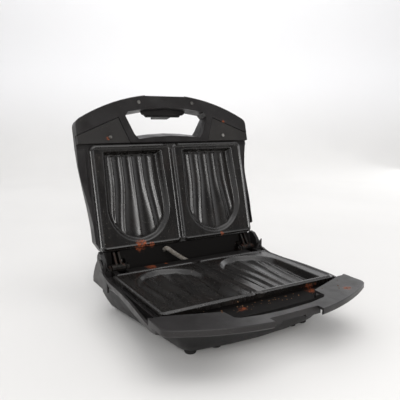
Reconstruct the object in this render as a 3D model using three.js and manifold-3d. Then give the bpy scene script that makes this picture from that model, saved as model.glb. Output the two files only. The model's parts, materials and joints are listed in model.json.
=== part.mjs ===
// A two-slice panini press, standing open with its lid leaning back on its stops.
// Millimetres. X runs along the hinge, Y from the handles to the hinge, Z up.
// Everything is drawn round the cooking plates: y = 0 is the plates' front edge and z = 0 is the
// plane where the two plates meet when the lid is shut. The lid is drawn shut, then turned open.
// At the end the whole press is moved so that its origin is the middle of its footprint.
import * as THREE from "three";
import { mergeVertices } from "three/addons/utils/BufferGeometryUtils.js";
import Module from "manifold-3d";

const wasm = await Module();
wasm.setup();

// ---------------------------------------------------------------- driving dimensions
const GAP = 0.3; // between pieces that touch
const WALL = 2.5; // moulded covers

const BAY_WIDTH = 112.5; // one slice of bread
const PLATE_DEPTH = 132;
const PLATE_THICK = 2.6;
const PLATE_SKIRT = 7; // how far the plate's edge turns back
const PLATE_RIM = 3; // width of the ridge that seals each bay
const RIM_BELOW_MEETING = 0.4; // each plate's ridge stops this short of the meeting plane
const RIDGE_HEIGHT = 1.2;
const CORNER_RADIUS = 6;

const WELL_HALF = 41; // at the straight front edge
const WELL_BULGE = 2.5;
const WELL_FRONT = 7.5;
const WELL_ROUND_FROM = 80; // the round end starts here
const WELL_ROUND = 46; // and is this long
const WELL_DEEP = 8.5;
const WELL_SHALLOW = 5.5;
const FLUTES = 6;
const FLUTE_DEPTH = 1.6;
const FLUTE_FAN = 0.3; // how far the flutes spread at the round end

const HANDLE_HALF = 127;
const HANDLE_REACH = 67.5; // how far the bow of the handle stands in front of the plates
const HANDLE_RADIUS = 243;
const HANDLE_CORNER = 10;
const HANDLE_REAR = -2;
const GRIP_HALF_FRONT = 61; // finger opening
const GRIP_HALF_REAR = 50;
const GRIP_FRONT = HANDLE_REACH - 18;
const GRIP_REAR = 9;
const GRIP_CORNER = 4;
const LATCH_HALF = 30; // the notch that the latch works in
const BEYOND_HANDLE = -HANDLE_REACH - 12.5; // cutters that leave through the handle's front start here

const BODY_REAR_HALF = 118; // half width of the body at the hinge
const FLARE_LENGTH = 112; // over which it widens to the handle
const BASE_REAR = 176;
const TUB_FRONT_HALF = 96;
const SEAM_HEIGHT = -21; // between the surround and the tub
const TUB_BOTTOM = -49.5;
const FOOT_HEIGHT = 4.2;
const FOOT_RADIUS = 6.3;

const LID_HEIGHT = 36;
const LID_SHOULDER = 17; // the lid's side walls are upright as far as here
const LID_HANDLE_THICK = 20;
const LID_FACE_THICK = 7; // the inner half of the lid's handle
const LID_CAVITY_HALF = 117.3;
const TAIL_HALF = 109.5; // the lid behind the plates
const TAIL_FROM = 131;
const LID_REAR = 158;

const HINGE_Y = 154.1;
const HINGE_Z = -1.9;
const OPEN_ANGLE = 104.75; // degrees, where the lid rests on its stops
const PIN_RADIUS = 3;
const PIN_CLEARANCE = 0.35;
const KNUCKLE_RADIUS = 6.5;
const ARM_X = 96; // middle of each hinge
const ARM_HALF = 8.5;
const BRACKET_THICK = 2.5;

const LATCH_PIVOT_Y = 1 - HANDLE_REACH;
const LATCH_PIVOT_Z = 16.5;
const LATCH_LENGTH = 26.5;
const LATCH_THICK = 2.4;
const LATCH_PIN_RADIUS = 1.1;

const ELEMENT_RADIUS = 3.2;
const LEAD_RADIUS = 2.8;

// ---------------------------------------------------------------- solids from three.js geometry
function solid(geometry) {
  const bare = geometry.index ? geometry.toNonIndexed() : geometry.clone();
  bare.deleteAttribute("normal");
  bare.deleteAttribute("uv");
  const merged = mergeVertices(bare, 1e-4);
  return new wasm.Manifold(
    new wasm.Mesh({
      numProp: 3,
      vertProperties: merged.attributes.position.array,
      triVerts: new Uint32Array(merged.index.array),
    }),
  );
}

function extrusion(outline, depth) {
  const shape = new THREE.Shape(outline.map(([x, y]) => new THREE.Vector2(x, y)));
  return new THREE.ExtrudeGeometry(shape, { depth, bevelEnabled: false, steps: 1 });
}

// An outline in plan, from one height to another.
function prism(outline, low, high) {
  return solid(extrusion(outline, high - low).translate(0, 0, low));
}

// An outline of [y, z] points, from one x to another.
function sidePrism(outline, low, high) {
  const axes = new THREE.Matrix4().makeBasis(
    new THREE.Vector3(0, 1, 0),
    new THREE.Vector3(0, 0, 1),
    new THREE.Vector3(1, 0, 0),
  );
  return solid(extrusion(outline, high - low).applyMatrix4(axes).translate(low, 0, 0));
}

// An outline of [x, z] points, from one y to another.
function frontPrism(outline, low, high) {
  const axes = new THREE.Matrix4().makeBasis(
    new THREE.Vector3(1, 0, 0),
    new THREE.Vector3(0, 0, 1),
    new THREE.Vector3(0, -1, 0),
  );
  return solid(extrusion(outline, high - low).applyMatrix4(axes).translate(0, high, 0));
}

function block(x0, x1, y0, y1, z0, z1) {
  const box = new THREE.BoxGeometry(x1 - x0, y1 - y0, z1 - z0);
  return solid(box.translate((x0 + x1) / 2, (y0 + y1) / 2, (z0 + z1) / 2));
}

// A skin over a stack of rings, lowest first, each [height, plan outline] with as many points.
function loft(levels) {
  const count = levels[0][1].length;
  const positions = levels.flatMap(([z, ring]) => ring.flatMap(([x, y]) => [x, y, z]));
  const faces = [];
  for (let level = 0; level < levels.length - 1; level++) {
    for (let i = 0; i < count; i++) {
      const a = level * count + i;
      const b = level * count + ((i + 1) % count);
      faces.push(a, b, b + count, a, b + count, a + count);
    }
  }
  const cap = (ring) =>
    THREE.ShapeUtils.triangulateShape(ring.map(([x, y]) => new THREE.Vector2(x, y)), []);
  const top = (levels.length - 1) * count;
  for (const [a, b, c] of cap(levels[0][1])) faces.push(a, c, b);
  for (const [a, b, c] of cap(levels.at(-1)[1])) faces.push(top + a, top + b, top + c);
  const geometry = new THREE.BufferGeometry();
  geometry.setAttribute("position", new THREE.Float32BufferAttribute(positions, 3));
  geometry.setIndex(faces);
  return solid(geometry);
}

// A turned piece on a vertical axis: profile of [radius, z] from the axis back to the axis.
function turned(profile, segments = 16) {
  const points = profile.map(([radius, z]) => new THREE.Vector2(radius, z));
  return solid(new THREE.LatheGeometry(points, segments).rotateX(Math.PI / 2));
}

function rodAlongX(radius, x0, x1, y, z, segments = 16) {
  const rod = new THREE.CylinderGeometry(radius, radius, x1 - x0, segments);
  return solid(rod.rotateZ(Math.PI / 2).translate((x0 + x1) / 2, y, z));
}

// A round tube along a curve through the given points.
function tube(points, radius, sides, steps) {
  const knots = points.map((p) => new THREE.Vector3(...p));
  const path = new THREE.CatmullRomCurve3(knots, false, "centripetal");
  const section = [];
  for (let i = 0; i < sides; i++) {
    const angle = (2 * Math.PI * i) / sides;
    section.push(new THREE.Vector2(radius * Math.cos(angle), radius * Math.sin(angle)));
  }
  const options = { steps, extrudePath: path, bevelEnabled: false };
  return solid(new THREE.ExtrudeGeometry(new THREE.Shape(section), options));
}

const union = (...solids) => solids.reduce((all, next) => all.add(next));
const cut = (from, ...tools) => tools.reduce((left, tool) => left.subtract(tool), from);
const mirrored = (outline) => outline.map(([x, y]) => [-x, y]).reverse();
const bothSides = (make) => [1, -1].map(make);
const ordered = (side, near, far) => [side * near, side * far].sort((a, b) => a - b);

// The piece without the specks that crossing cuts leave at its corners.
function withoutSpecks(made) {
  return made.decompose().reduce((best, next) => (next.volume() > best.volume() ? next : best));
}

function geometryOf(made) {
  const mesh = made.getMesh();
  const geometry = new THREE.BufferGeometry();
  geometry.setAttribute("position", new THREE.Float32BufferAttribute(mesh.vertProperties, 3));
  geometry.setIndex([...mesh.triVerts]);
  geometry.computeVertexNormals();
  return geometry;
}

// ---------------------------------------------------------------- finishes
const finish = (color, roughness, metalness) =>
  new THREE.MeshStandardMaterial({ color, roughness, metalness });
const FINISHES = {
  casing: () => finish(0x3a3838, 0.55, 0),
  panel: () => finish(0x2d2b2a, 0.6, 0),
  tub: () => finish(0x242323, 0.6, 0),
  blackPlastic: () => finish(0x181717, 0.5, 0),
  nonStick: () => finish(0x262423, 0.35, 0.3),
  steel: () => finish(0xa9a8a5, 0.35, 1),
  brightSheet: () => finish(0xc4c6c8, 0.3, 1),
  element: () => finish(0x6f6a66, 0.5, 1),
  rubber: () => finish(0x151515, 0.9, 0),
  ceramic: () => finish(0xd9d4c8, 0.6, 0),
  sleeve: () => finish(0xaaa9a6, 0.8, 0),
  redLens: () => finish(0xb01812, 0.25, 0),
  greenLens: () => finish(0x1d8a35, 0.25, 0),
};

function part(group, name, made, finishName) {
  const mesh = new THREE.Mesh(geometryOf(made), FINISHES[finishName]());
  mesh.name = name;
  group.add(mesh);
  return mesh;
}

// ---------------------------------------------------------------- shared outlines
const smooth = (t) => {
  const k = Math.min(Math.max(t, 0), 1);
  return k * k * (3 - 2 * k);
};
const mix = (a, b, t) => a + (b - a) * t;
const PLATE_HALF = BAY_WIDTH;
const PIN_BORE = PIN_RADIUS + PIN_CLEARANCE;

// Half the body's width: the sides sweep in from the handle's ends to the hinge.
const bodyHalf = (y) => mix(HANDLE_HALF, BODY_REAR_HALF, smooth(y / FLARE_LENGTH));

function roundedRectangle(x0, x1, y0, y1, radius, segments = 4) {
  const outline = [];
  const corners = [
    [x1 - radius, y0 + radius, -90],
    [x1 - radius, y1 - radius, 0],
    [x0 + radius, y1 - radius, 90],
    [x0 + radius, y0 + radius, 180],
  ];
  for (const [cx, cy, start] of corners) {
    for (let i = 0; i <= segments; i++) {
      const angle = THREE.MathUtils.degToRad(start + (90 * i) / segments);
      outline.push([cx + radius * Math.cos(angle), cy + radius * Math.sin(angle)]);
    }
  }
  return outline;
}

// The bow-shaped handle, the same for lid and base: one wide arc with rounded ends.
function handleOutline(inset, rear = HANDLE_REAR) {
  const radius = HANDLE_RADIUS - inset;
  const centre = HANDLE_RADIUS - HANDLE_REACH;
  const corner = HANDLE_CORNER - Math.min(inset, HANDLE_CORNER - 1);
  const cornerX = HANDLE_HALF - inset - corner;
  const cornerY = centre - Math.sqrt((radius - corner) ** 2 - cornerX ** 2);
  const tangent = Math.atan2(cornerX, centre - cornerY);
  const right = [];
  const arcSteps = 10;
  for (let i = 1; i <= arcSteps; i++) {
    const angle = (tangent * i) / arcSteps;
    right.push([radius * Math.sin(angle), centre - radius * Math.cos(angle)]);
  }
  const cornerSteps = 3;
  for (let i = 1; i <= cornerSteps; i++) {
    const angle = mix(tangent, Math.PI / 2, i / cornerSteps);
    right.push([cornerX + corner * Math.sin(angle), cornerY - corner * Math.cos(angle)]);
  }
  right.push([HANDLE_HALF - inset, rear - inset]);
  return [[0, -HANDLE_REACH + inset], ...right, ...mirrored(right)];
}

// The finger opening: wider in front, its front and rear edges bowed like the handle.
function gripOutline(grow, shrinkRear = 0, reach = GRIP_FRONT) {
  const halfFront = GRIP_HALF_FRONT + grow;
  const halfRear = GRIP_HALF_REAR + grow - shrinkRear * 0.1;
  const bow = 8;
  const rear = -GRIP_REAR + grow - shrinkRear;
  const front = -reach - grow;
  const r = GRIP_CORNER;
  const right = [
    [0, front],
    [halfFront * 0.5, front + bow * 0.25],
    [halfFront - r, front + bow - r * 0.4],
    [halfFront, front + bow + r],
    [halfRear + 1, rear - r],
    [halfRear - r, rear + 2],
    [halfRear * 0.5, rear - 0.4],
  ];
  const left = mirrored(right.slice(1));
  return [...right, [0, rear - 1.4], ...left];
}

// ---------------------------------------------------------------- cooking plates
const wellHalfAt = (y) => WELL_HALF + WELL_BULGE * smooth((y - WELL_FRONT) / WELL_ROUND_FROM);

// One point of a well: u runs across from -1 to 1, v from the front edge to the round end.
function wellPoint(centre, u, v, grow = 0) {
  const round = Math.sqrt(Math.max(1 - u * u, 0));
  const rear = WELL_ROUND_FROM + WELL_ROUND * round + grow;
  const y = mix(WELL_FRONT - grow, rear, v);
  return [centre + u * (wellHalfAt(y) + grow), y];
}

function wellDepth(u, v) {
  const alongFlute = mix(WELL_DEEP, WELL_SHALLOW, smooth(v));
  const spread = 1 + FLUTE_FAN * smooth((v - 0.4) / 0.6);
  const flute = Math.abs(Math.sin((Math.PI * FLUTES * (u / spread + 1)) / 2));
  const wall = Math.min(smooth((1 - Math.abs(u)) / 0.1), smooth(v / 0.03), smooth((1 - v) / 0.08));
  return (alongFlute - FLUTE_DEPTH * (1 - flute)) * wall;
}

// The cutter for one well, with the fluted floor on its underside.
function wellCutter(centre, field) {
  const across = [-1, -0.9];
  for (let i = 1; i < FLUTES * 4; i++) across.push(-0.9 + (1.8 * i) / (FLUTES * 4));
  across.push(0.9, 1);
  const along = [0, 0.03, 0.3, 0.6, 0.8, 0.93, 1];
  const positions = [];
  for (const above of [false, true]) {
    for (const v of along) {
      for (const u of across) {
        const [x, y] = wellPoint(centre, u, v);
        positions.push(x, y, above ? field + 3 : field - wellDepth(u, v));
      }
    }
  }
  const columns = across.length;
  const rows = along.length;
  const layer = columns * rows;
  const faces = [];
  const quad = (a, b, c, d) => faces.push(a, b, c, a, c, d);
  for (let j = 0; j < rows - 1; j++) {
    for (let i = 0; i < columns - 1; i++) {
      const a = j * columns + i;
      quad(a, a + columns, a + columns + 1, a + 1);
      quad(layer + a, layer + a + 1, layer + a + columns + 1, layer + a + columns);
    }
  }
  for (let i = 0; i < columns - 1; i++) {
    const rear = (rows - 1) * columns + i;
    quad(i, i + 1, layer + i + 1, layer + i);
    quad(rear + 1, rear, layer + rear, layer + rear + 1);
  }
  for (let j = 0; j < rows - 1; j++) {
    const left = j * columns;
    const right = left + columns - 1;
    quad(left + columns, left, layer + left, layer + left + columns);
    quad(right, right + columns, layer + right + columns, layer + right);
  }
  const geometry = new THREE.BufferGeometry();
  geometry.setAttribute("position", new THREE.Float32BufferAttribute(positions, 3));
  geometry.setIndex(faces);
  return solid(geometry);
}

function wellPan(centre, low, high) {
  const outline = [];
  const steps = 12;
  for (let i = 0; i <= steps; i++) {
    outline.push(wellPoint(centre, Math.sin(Math.PI * (0.5 - i / steps)), 1, PLATE_THICK));
  }
  outline.push(wellPoint(centre, -1, 0, PLATE_THICK), wellPoint(centre, 1, 0, PLATE_THICK));
  return prism(outline, low, high);
}

// The lower plate; the upper one is the same casting turned over.
function cookingPlate() {
  const top = -RIM_BELOW_MEETING;
  const field = top - RIDGE_HEIGHT;
  const outline = (inset) => {
    const half = PLATE_HALF - inset;
    return roundedRectangle(-half, half, inset, PLATE_DEPTH - inset, CORNER_RADIUS - inset / 2);
  };
  let plate = loft([
    [-PLATE_SKIRT, outline(0)],
    [top - 1, outline(0.8)],
    [top, outline(1.6)],
  ]);
  const inside = outline(PLATE_THICK);
  plate = cut(plate, prism(inside, -PLATE_SKIRT - 1, field - PLATE_THICK));
  for (const side of [-1, 1]) {
    const centre = (side * BAY_WIDTH) / 2;
    const bottom = field - WELL_DEEP - PLATE_THICK;
    plate = plate.add(wellPan(centre, bottom, field));
    const bay = roundedRectangle(
      centre - BAY_WIDTH / 2 + (side < 0 ? PLATE_RIM : 1),
      centre + BAY_WIDTH / 2 - (side < 0 ? 1 : PLATE_RIM),
      PLATE_RIM,
      PLATE_DEPTH - PLATE_RIM,
      CORNER_RADIUS,
    );
    plate = cut(plate, prism(bay, field, top + 1), wellCutter(centre, field));
  }
  return plate;
}

const WELL_UNDERSIDE = -(RIM_BELOW_MEETING + RIDGE_HEIGHT + WELL_DEEP + PLATE_THICK);
const ELEMENT_Z = WELL_UNDERSIDE - GAP - ELEMENT_RADIUS;

// A rod bent into a wide loop under both wells, with its two cold ends at the rear.
function heatingElement() {
  const half = BAY_WIDTH * 0.62;
  const front = 30;
  const rear = PLATE_DEPTH - 32;
  const ends = 16;
  const z = ELEMENT_Z;
  const right = [
    [ends, rear + 14, z],
    [ends + 6, rear, z],
    [ends + 22, rear - 4, z],
    [half - 14, rear - 4, z],
    [half, rear - 20, z],
    [half, front + 14, z],
    [half - 14, front, z],
    [ends + 8, front, z],
  ];
  const left = right.map(([x, y, height]) => [-x, y, height]).reverse();
  return tube([...right, ...left], ELEMENT_RADIUS, 6, 44);
}

// A pressed steel strap that holds the rod up against the wells.
function elementStrap() {
  const low = ELEMENT_Z - ELEMENT_RADIUS - GAP;
  const half = BAY_WIDTH * 0.62 + ELEMENT_RADIUS + 6;
  return block(-half, half, 58, 70, low - 1.2, low);
}

const TRAY_TOP = ELEMENT_Z - ELEMENT_RADIUS + 3;
const TRAY_BOTTOM = ELEMENT_Z - ELEMENT_RADIUS - 6;
const TRAY_HALF = 90;
const TRAY_FRONT = 14;
const TRAY_REAR = PLATE_DEPTH - 12;

// A shallow bright tray behind the element that turns its heat back to the plate.
function heatReflector() {
  const sheet = 0.8;
  const outline = (inset) =>
    roundedRectangle(-TRAY_HALF + inset, TRAY_HALF - inset, TRAY_FRONT + inset, TRAY_REAR - inset, 6);
  return cut(
    prism(outline(0), TRAY_BOTTOM, TRAY_TOP),
    prism(outline(sheet), TRAY_BOTTOM + sheet, TRAY_TOP + 1),
  );
}

// ---------------------------------------------------------------- base
// One ring of the base: sides between the swept body and the narrower tub, front edge bowed.
function baseRing({ sweep, frontHalf, frontY, bow, rear, rearHalf, inset = 0 }) {
  const sideAt = (y) => {
    const straight = mix(frontHalf, rearHalf, (y - frontY) / (rear - frontY));
    return mix(straight, Math.max(bodyHalf(y), straight), sweep) - inset;
  };
  const front = frontY + inset;
  const back = rear - inset;
  const radius = 14;
  const right = [];
  const cornerX = sideAt(front + radius) - radius;
  for (const t of [0.5, 1]) right.push([cornerX * t, front - bow + bow * t * t]);
  for (const t of [0.35, 0.7, 1]) {
    const angle = (t * Math.PI) / 2;
    right.push([cornerX + radius * Math.sin(angle), front + radius * (1 - Math.cos(angle))]);
  }
  for (const t of [0.15, 0.3, 0.45, 0.6, 0.8, 1]) {
    const y = mix(front + radius, back - radius, t);
    right.push([sideAt(y), y]);
  }
  for (const t of [0.35, 0.7, 1]) {
    const angle = (t * Math.PI) / 2;
    const x = sideAt(back - radius) - radius * (1 - Math.cos(angle));
    right.push([x, back - radius + radius * Math.sin(angle)]);
  }
  return [[0, front - bow], ...right, [0, back], ...mirrored(right)];
}

const RING_TOP = {
  sweep: 1,
  frontHalf: HANDLE_HALF,
  frontY: -22,
  bow: 6,
  rear: BASE_REAR,
  rearHalf: BODY_REAR_HALF,
};
const RING_TURN = { ...RING_TOP, sweep: 0.9, frontHalf: 114, frontY: -20 };
const RING_SEAM = {
  sweep: 0,
  frontHalf: TUB_FRONT_HALF,
  frontY: -15,
  bow: 7,
  rear: BASE_REAR,
  rearHalf: BODY_REAR_HALF - 1.5,
};
const tubRing = (frontHalf, frontY, rearHalf, rear, inset = 0) =>
  baseRing({ ...RING_SEAM, frontHalf, frontY, rearHalf, rear, inset });

// The height of the surround's top edge along its sides.
function baseRimProfile() {
  const points = [
    [-1, -8.6], [20, -6.3], [46, -5.1], [80, -4.7], [110, -5.6], [126, -5], [140, -2], [148, 2],
  ];
  const curve = new THREE.SplineCurve(points.map(([y, z]) => new THREE.Vector2(y, z)));
  return curve.getPoints(12).map((p) => [p.x, p.y]);
}

const DECK_TOP = -1;
const TURN_HEIGHT = -13; // where the surround turns in towards the seam
const SEAT_TOP = -PLATE_SKIRT - 0.4;
const SEAT_FLOOR = -18;
const FLOOR_THICK = 2.4;
const SEAT_HOLE_FRONT = WELL_FRONT - PLATE_THICK - 2 * GAP;
const SEAT_HOLE_REAR = WELL_ROUND_FROM + WELL_ROUND + PLATE_THICK + 2 * GAP;
const SEAT_HOLE_HALF = PLATE_HALF - 3.5;
const WELL_PAN_LOW = -(RIM_BELOW_MEETING + RIDGE_HEIGHT + WELL_DEEP + PLATE_THICK);
const BOSS_TOP = Math.min(SEAT_FLOOR + 4, WELL_PAN_LOW - 2 * GAP); // the screw bosses stay under the wells
const LEDGE_REAR = 145;
const LEDGE_HALF = 107;
const REAR_WALL_TOP = -13;
const STOP_X = 60;
const BEAM_FRONT = 10.5 - HANDLE_REACH; // wall of the base's notch, which the latch reaches under
const BEAM_REAR = -GRIP_FRONT - 2;
const BEAM_BOTTOM = -9.5;
const CATCH_HALF = 15;
const CATCH_TOP = -7.2;
const COVER = [111.3, 116]; // the hinge covers, inside the ears
const CHEEK_SLOT = [ARM_X - 6.5, ARM_X + 5]; // in the ledge, for the cheeks of the lid's arms

const SCREW_SHANK = 1.5;
const SCREW_HEAD = 3;
const SCREW_PLAY = 0.3;
const TUB_SCREWS = [
  ["front_left", -50, 3],
  ["front_right", 50, 3],
  ["rear_left", -60, 140],
  ["rear_right", 60, 140],
];
const TUB_SCREW_SEAT = -31; // top of the counterbore in each post

function drill(x, y, radius, low, high, sides = 10) {
  return turned([[0, low], [radius, low], [radius, high], [0, high]], sides).translate([x, y, 0]);
}

// A screw standing on its head.
function screw(length, head = SCREW_HEAD, shank = SCREW_SHANK) {
  return turned([[0, 0], [head, 0], [head, 2], [shank, 2.3], [shank, length], [0, length]], 8);
}

const LEAD_HOLE = [10, 151];

// The base's finger opening runs back to the plates between two slanted shoulders.
const SHOULDER = [[57, -GRIP_FRONT + 10.5], [58.5, -23], [118, -1.6], [118, 0.2]];

function baseOpening() {
  const front = [[30, -GRIP_FRONT + 2], [52, -GRIP_FRONT + 6.3]];
  const right = [...front, ...SHOULDER];
  return [[0, -GRIP_FRONT], ...right, ...mirrored(right)];
}

// The part of the finger opening that goes right through, in front of the body's front wall.
function frontGap() {
  const right = [[30, -GRIP_FRONT + 2], [52, -GRIP_FRONT + 6.3], [56, -GRIP_FRONT + 10.5], [57, -31]];
  return [[0, -GRIP_FRONT], ...right, ...mirrored(right)];
}

function baseDeck() {
  const deck = loft([
    [-8, handleOutline(1.4)],
    [-6.4, handleOutline(0)],
    [DECK_TOP - 0.8, handleOutline(0)],
    [DECK_TOP, handleOutline(0.8)],
  ]);
  const underDeck = prism(handleOutline(WALL, HANDLE_REAR - 1), -9, DECK_TOP - WALL);
  // The beam between the finger opening and the latch notch is deeper than the rest of the deck.
  const beamHalf = LATCH_HALF + 4;
  const beam = block(-beamHalf, beamHalf, BEAM_FRONT, BEAM_REAR, BEAM_BOTTOM, DECK_TOP - 1);
  const notch = block(-LATCH_HALF, LATCH_HALF, BEYOND_HANDLE, BEAM_FRONT, -12, 1);
  const hookSlot = block(-CATCH_HALF, CATCH_HALF, BEAM_FRONT - 3, BEAM_REAR + 1, -12, CATCH_TOP);
  return cut(union(cut(deck, underDeck), beam), notch, hookSlot);
}

// The steps and ledges inside the surround: the plate's seat, the floor and the lid's stops.
function surroundInside() {
  const floorHole = roundedRectangle(-105, 105, 11, 124, 6);
  const floor = cut(
    block(-125, 125, -20, BASE_REAR, SEAT_FLOOR - FLOOR_THICK, SEAT_FLOOR),
    prism(floorHole, -30, 0),
  );
  const seatHole = [-SEAT_HOLE_HALF, SEAT_HOLE_HALF, SEAT_HOLE_FRONT, SEAT_HOLE_REAR, 5];
  const seat = cut(
    prism(roundedRectangle(-115, 115, 0.4, LEDGE_REAR, 6), SEAT_FLOOR - 1, SEAT_TOP),
    prism(roundedRectangle(...seatHole), SEAT_FLOOR - 5, 0),
  );
  const bosses = TUB_SCREWS.map(([, x, y]) => drill(x, y, 4, SEAT_FLOOR - 1, BOSS_TOP, 12));
  const crumbShelf = block(-120, 120, -30, 1.5, -12, -10);
  const stops = bothSides((side) => {
    const [x0, x1] = ordered(side, STOP_X - 8, STOP_X + 8);
    return block(x0, x1, 164, 168, SEAT_FLOOR - 1, -10.4);
  });
  return union(floor, seat, crumbShelf, ...bosses, ...stops);
}

// The lugs beside the hinge: an outer ear, and a gusset with a window that ties it to the floor.
function surroundEars() {
  const earProfile = [
    [130, -8], [144, -2], [150, 6], [157, 12], [162, 10.5], [170, 2], [176, -7],
    [BASE_REAR + 4, -15], [BASE_REAR + 4, SEAM_HEIGHT], [130, SEAM_HEIGHT],
  ];
  const pieces = bothSides((side) => {
    const ear = sidePrism(earProfile, ...ordered(side, BODY_REAR_HALF - 1.7, BODY_REAR_HALF + 0.8));
    const outer = [[116.6, 11.5], [107.5, -2], [107.5, -7], [116.6, -7]];
    const hole = [[114.6, 5.5], [110.6, -0.4], [114.6, -0.4]];
    const at = (outline) => (side > 0 ? outline : mirrored(outline));
    const gusset = cut(frontPrism(at(outer), 143.5, 145.5), frontPrism(at(hole), 143, 146));
    const [x0, x1] = ordered(side, LEDGE_HALF - 1, 117);
    const foot = block(x0, x1, 136, 145.5, SEAT_FLOOR - 1, -6.8);
    return union(ear, gusset, foot);
  });
  return union(...pieces);
}

function baseSurround() {
  const outside = loft([
    [SEAM_HEIGHT, baseRing(RING_SEAM)],
    [TURN_HEIGHT, baseRing(RING_TURN)],
    [DECK_TOP, baseRing(RING_TOP)],
  ]);
  const room = (grow) =>
    loft([
      [SEAM_HEIGHT - 1, baseRing({ ...RING_SEAM, inset: 6 - grow })],
      [TURN_HEIGHT + 1.5, baseRing({ ...RING_TURN, inset: WALL - grow })],
      [DECK_TOP + 2, baseRing({ ...RING_TOP, inset: WALL - grow })],
    ]);
  const shell = cut(outside, room(0));
  const inner = surroundInside().intersect(room(0.4));
  const rearLedge = cut(
    block(-LEDGE_HALF, LEDGE_HALF, PLATE_DEPTH + 0.4, LEDGE_REAR, SEAT_TOP - 1, DECK_TOP),
    block(3 - LEDGE_HALF, LEDGE_HALF - 3, PLATE_DEPTH + 2.8, LEDGE_REAR + 1, SEAT_TOP - 3, DECK_TOP - WALL),
  );
  // Above the rim line the side walls are cut away; the handle's deck stays.
  const aboveRim = [...baseRimProfile(), [148, 30], [-1, 30]];
  const sideCuts = bothSides((side) => sidePrism(aboveRim, ...ordered(side, 108, 135)));
  const rearCut = block(-112, 112, LEDGE_REAR, BASE_REAR + 5, REAR_WALL_TOP, 10);
  const cheekSlots = bothSides((side) => {
    const [x0, x1] = ordered(side, ...CHEEK_SLOT);
    return block(x0, x1, PLATE_DEPTH - 1, LEDGE_REAR + 1, -9.5, 10);
  });
  const coverRooms = bothSides((side) => {
    const [x0, x1] = ordered(side, COVER[0] - GAP, COVER[1] + GAP);
    return block(x0, x1, 147, 173.3, SEAT_FLOOR, 25);
  });
  const walls = cut(shell, ...sideCuts, rearCut);
  const body = cut(union(walls, inner, rearLedge), ...cheekSlots, ...coverRooms);
  const openings = [prism(baseOpening(), -9.9, 1), prism(frontGap(), -30, 1)];
  const pilots = TUB_SCREWS.map(([, x, y]) =>
    drill(x, y, SCREW_SHANK + SCREW_PLAY, SEAT_FLOOR - 5, SEAT_FLOOR + 2),
  );
  const leadHole = drill(...LEAD_HOLE, LEAD_RADIUS + 1, SEAT_FLOOR - 5, SEAT_FLOOR + 1);
  const whole = union(cut(union(baseDeck(), body), ...openings), surroundEars());
  return withoutSpecks(cut(whole, ...pilots, leadHole));
}

const TUB_LEVELS = [
  [TUB_BOTTOM, 80, 5, 103, 163],
  [TUB_BOTTOM + 2.5, 84, 1, 107, 167],
  [-40, 88, -4, 111, 171],
  [-30, 92.5, -9.5, 115, 175],
  [SEAM_HEIGHT - GAP, TUB_FRONT_HALF - 0.6, -14.6, BODY_REAR_HALF - 2.1, BASE_REAR - 0.6],
];
const FEET = [
  ["front_left", -74, 13],
  ["front_right", 74, 13],
  ["rear_left", -86, 148],
  ["rear_right", 86, 148],
];
const FOOT_STEM = 2.8;
const INLET_RADIUS = 5;
const INLET_Z = -35;

function baseTub() {
  const outer = TUB_LEVELS.map(([z, ...ring]) => [z, tubRing(...ring)]);
  const inner = TUB_LEVELS.slice(1).map(([z, ...ring], i, all) => [
    i === all.length - 1 ? z + 1 : z + (i ? 0 : 0.4),
    tubRing(...ring, WALL - 0.1),
  ]);
  const footHoles = FEET.map(([, x, y]) => drill(x, y, FOOT_STEM + GAP, TUB_BOTTOM - 1, -45));
  const posts = TUB_SCREWS.map(([, x, y]) =>
    drill(x, y, SCREW_HEAD + 2.4, TUB_BOTTOM + 1, SEAT_FLOOR - FLOOR_THICK - GAP, 12),
  );
  const counterbores = TUB_SCREWS.map(([, x, y]) =>
    drill(x, y, SCREW_HEAD + SCREW_PLAY, TUB_BOTTOM - 1, TUB_SCREW_SEAT),
  );
  const shankHoles = TUB_SCREWS.map(([, x, y]) =>
    drill(x, y, SCREW_SHANK + SCREW_PLAY, TUB_SCREW_SEAT - 1, SEAM_HEIGHT + 2),
  );
  const inletSeat = block(-11, 11, 168, BASE_REAR, INLET_Z - 9, INLET_Z + 9);
  const inletHole = turned([[0, 0], [INLET_RADIUS + GAP, 0], [INLET_RADIUS + GAP, 20], [0, 20]], 16)
    .rotate([-90, 0, 0])
    .translate([0, BASE_REAR - 15, INLET_Z]);
  const whole = union(cut(loft(outer), loft(inner)), ...posts, inletSeat);
  return cut(whole, ...footHoles, ...counterbores, ...shankHoles, inletHole);
}

// The bush that the mains cord goes through, pushed in from behind.
function inletBush() {
  const flange = INLET_RADIUS + 2.6;
  const body = turned([
    [0, -10],
    [INLET_RADIUS - 0.8, -10],
    [INLET_RADIUS, -8],
    [INLET_RADIUS, GAP],
    [flange, GAP],
    [flange, 1.6],
    [flange - 0.9, 2.4],
    [0, 2.4],
  ]);
  const bored = cut(body, drill(0, 0, 3.2, -12, 5, 12));
  return bored.rotate([-90, 0, 0]).translate([0, BASE_REAR, INLET_Z]);
}

function rubberFoot() {
  const low = TUB_BOTTOM - FOOT_HEIGHT;
  return turned([
    [0, low],
    [FOOT_RADIUS - 0.6, low],
    [FOOT_RADIUS, low + 1],
    [FOOT_RADIUS, TUB_BOTTOM - GAP],
    [FOOT_STEM, TUB_BOTTOM - GAP],
    [FOOT_STEM, TUB_BOTTOM + 4],
    [0, TUB_BOTTOM + 5],
  ], 12);
}

// Thermostat and thermal fuse, clipped under the web between the two wells.
const WEB_UNDERSIDE = -(RIM_BELOW_MEETING + RIDGE_HEIGHT + PLATE_THICK);

function thermostat() {
  const top = WEB_UNDERSIDE - GAP;
  const body = drill(0, 0, 7.6, top - 5, top, 16);
  const collar = drill(0, 0, 5, top - 7.5, top - 4, 12);
  return union(body, collar).translate([0, 62, 0]);
}

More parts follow.
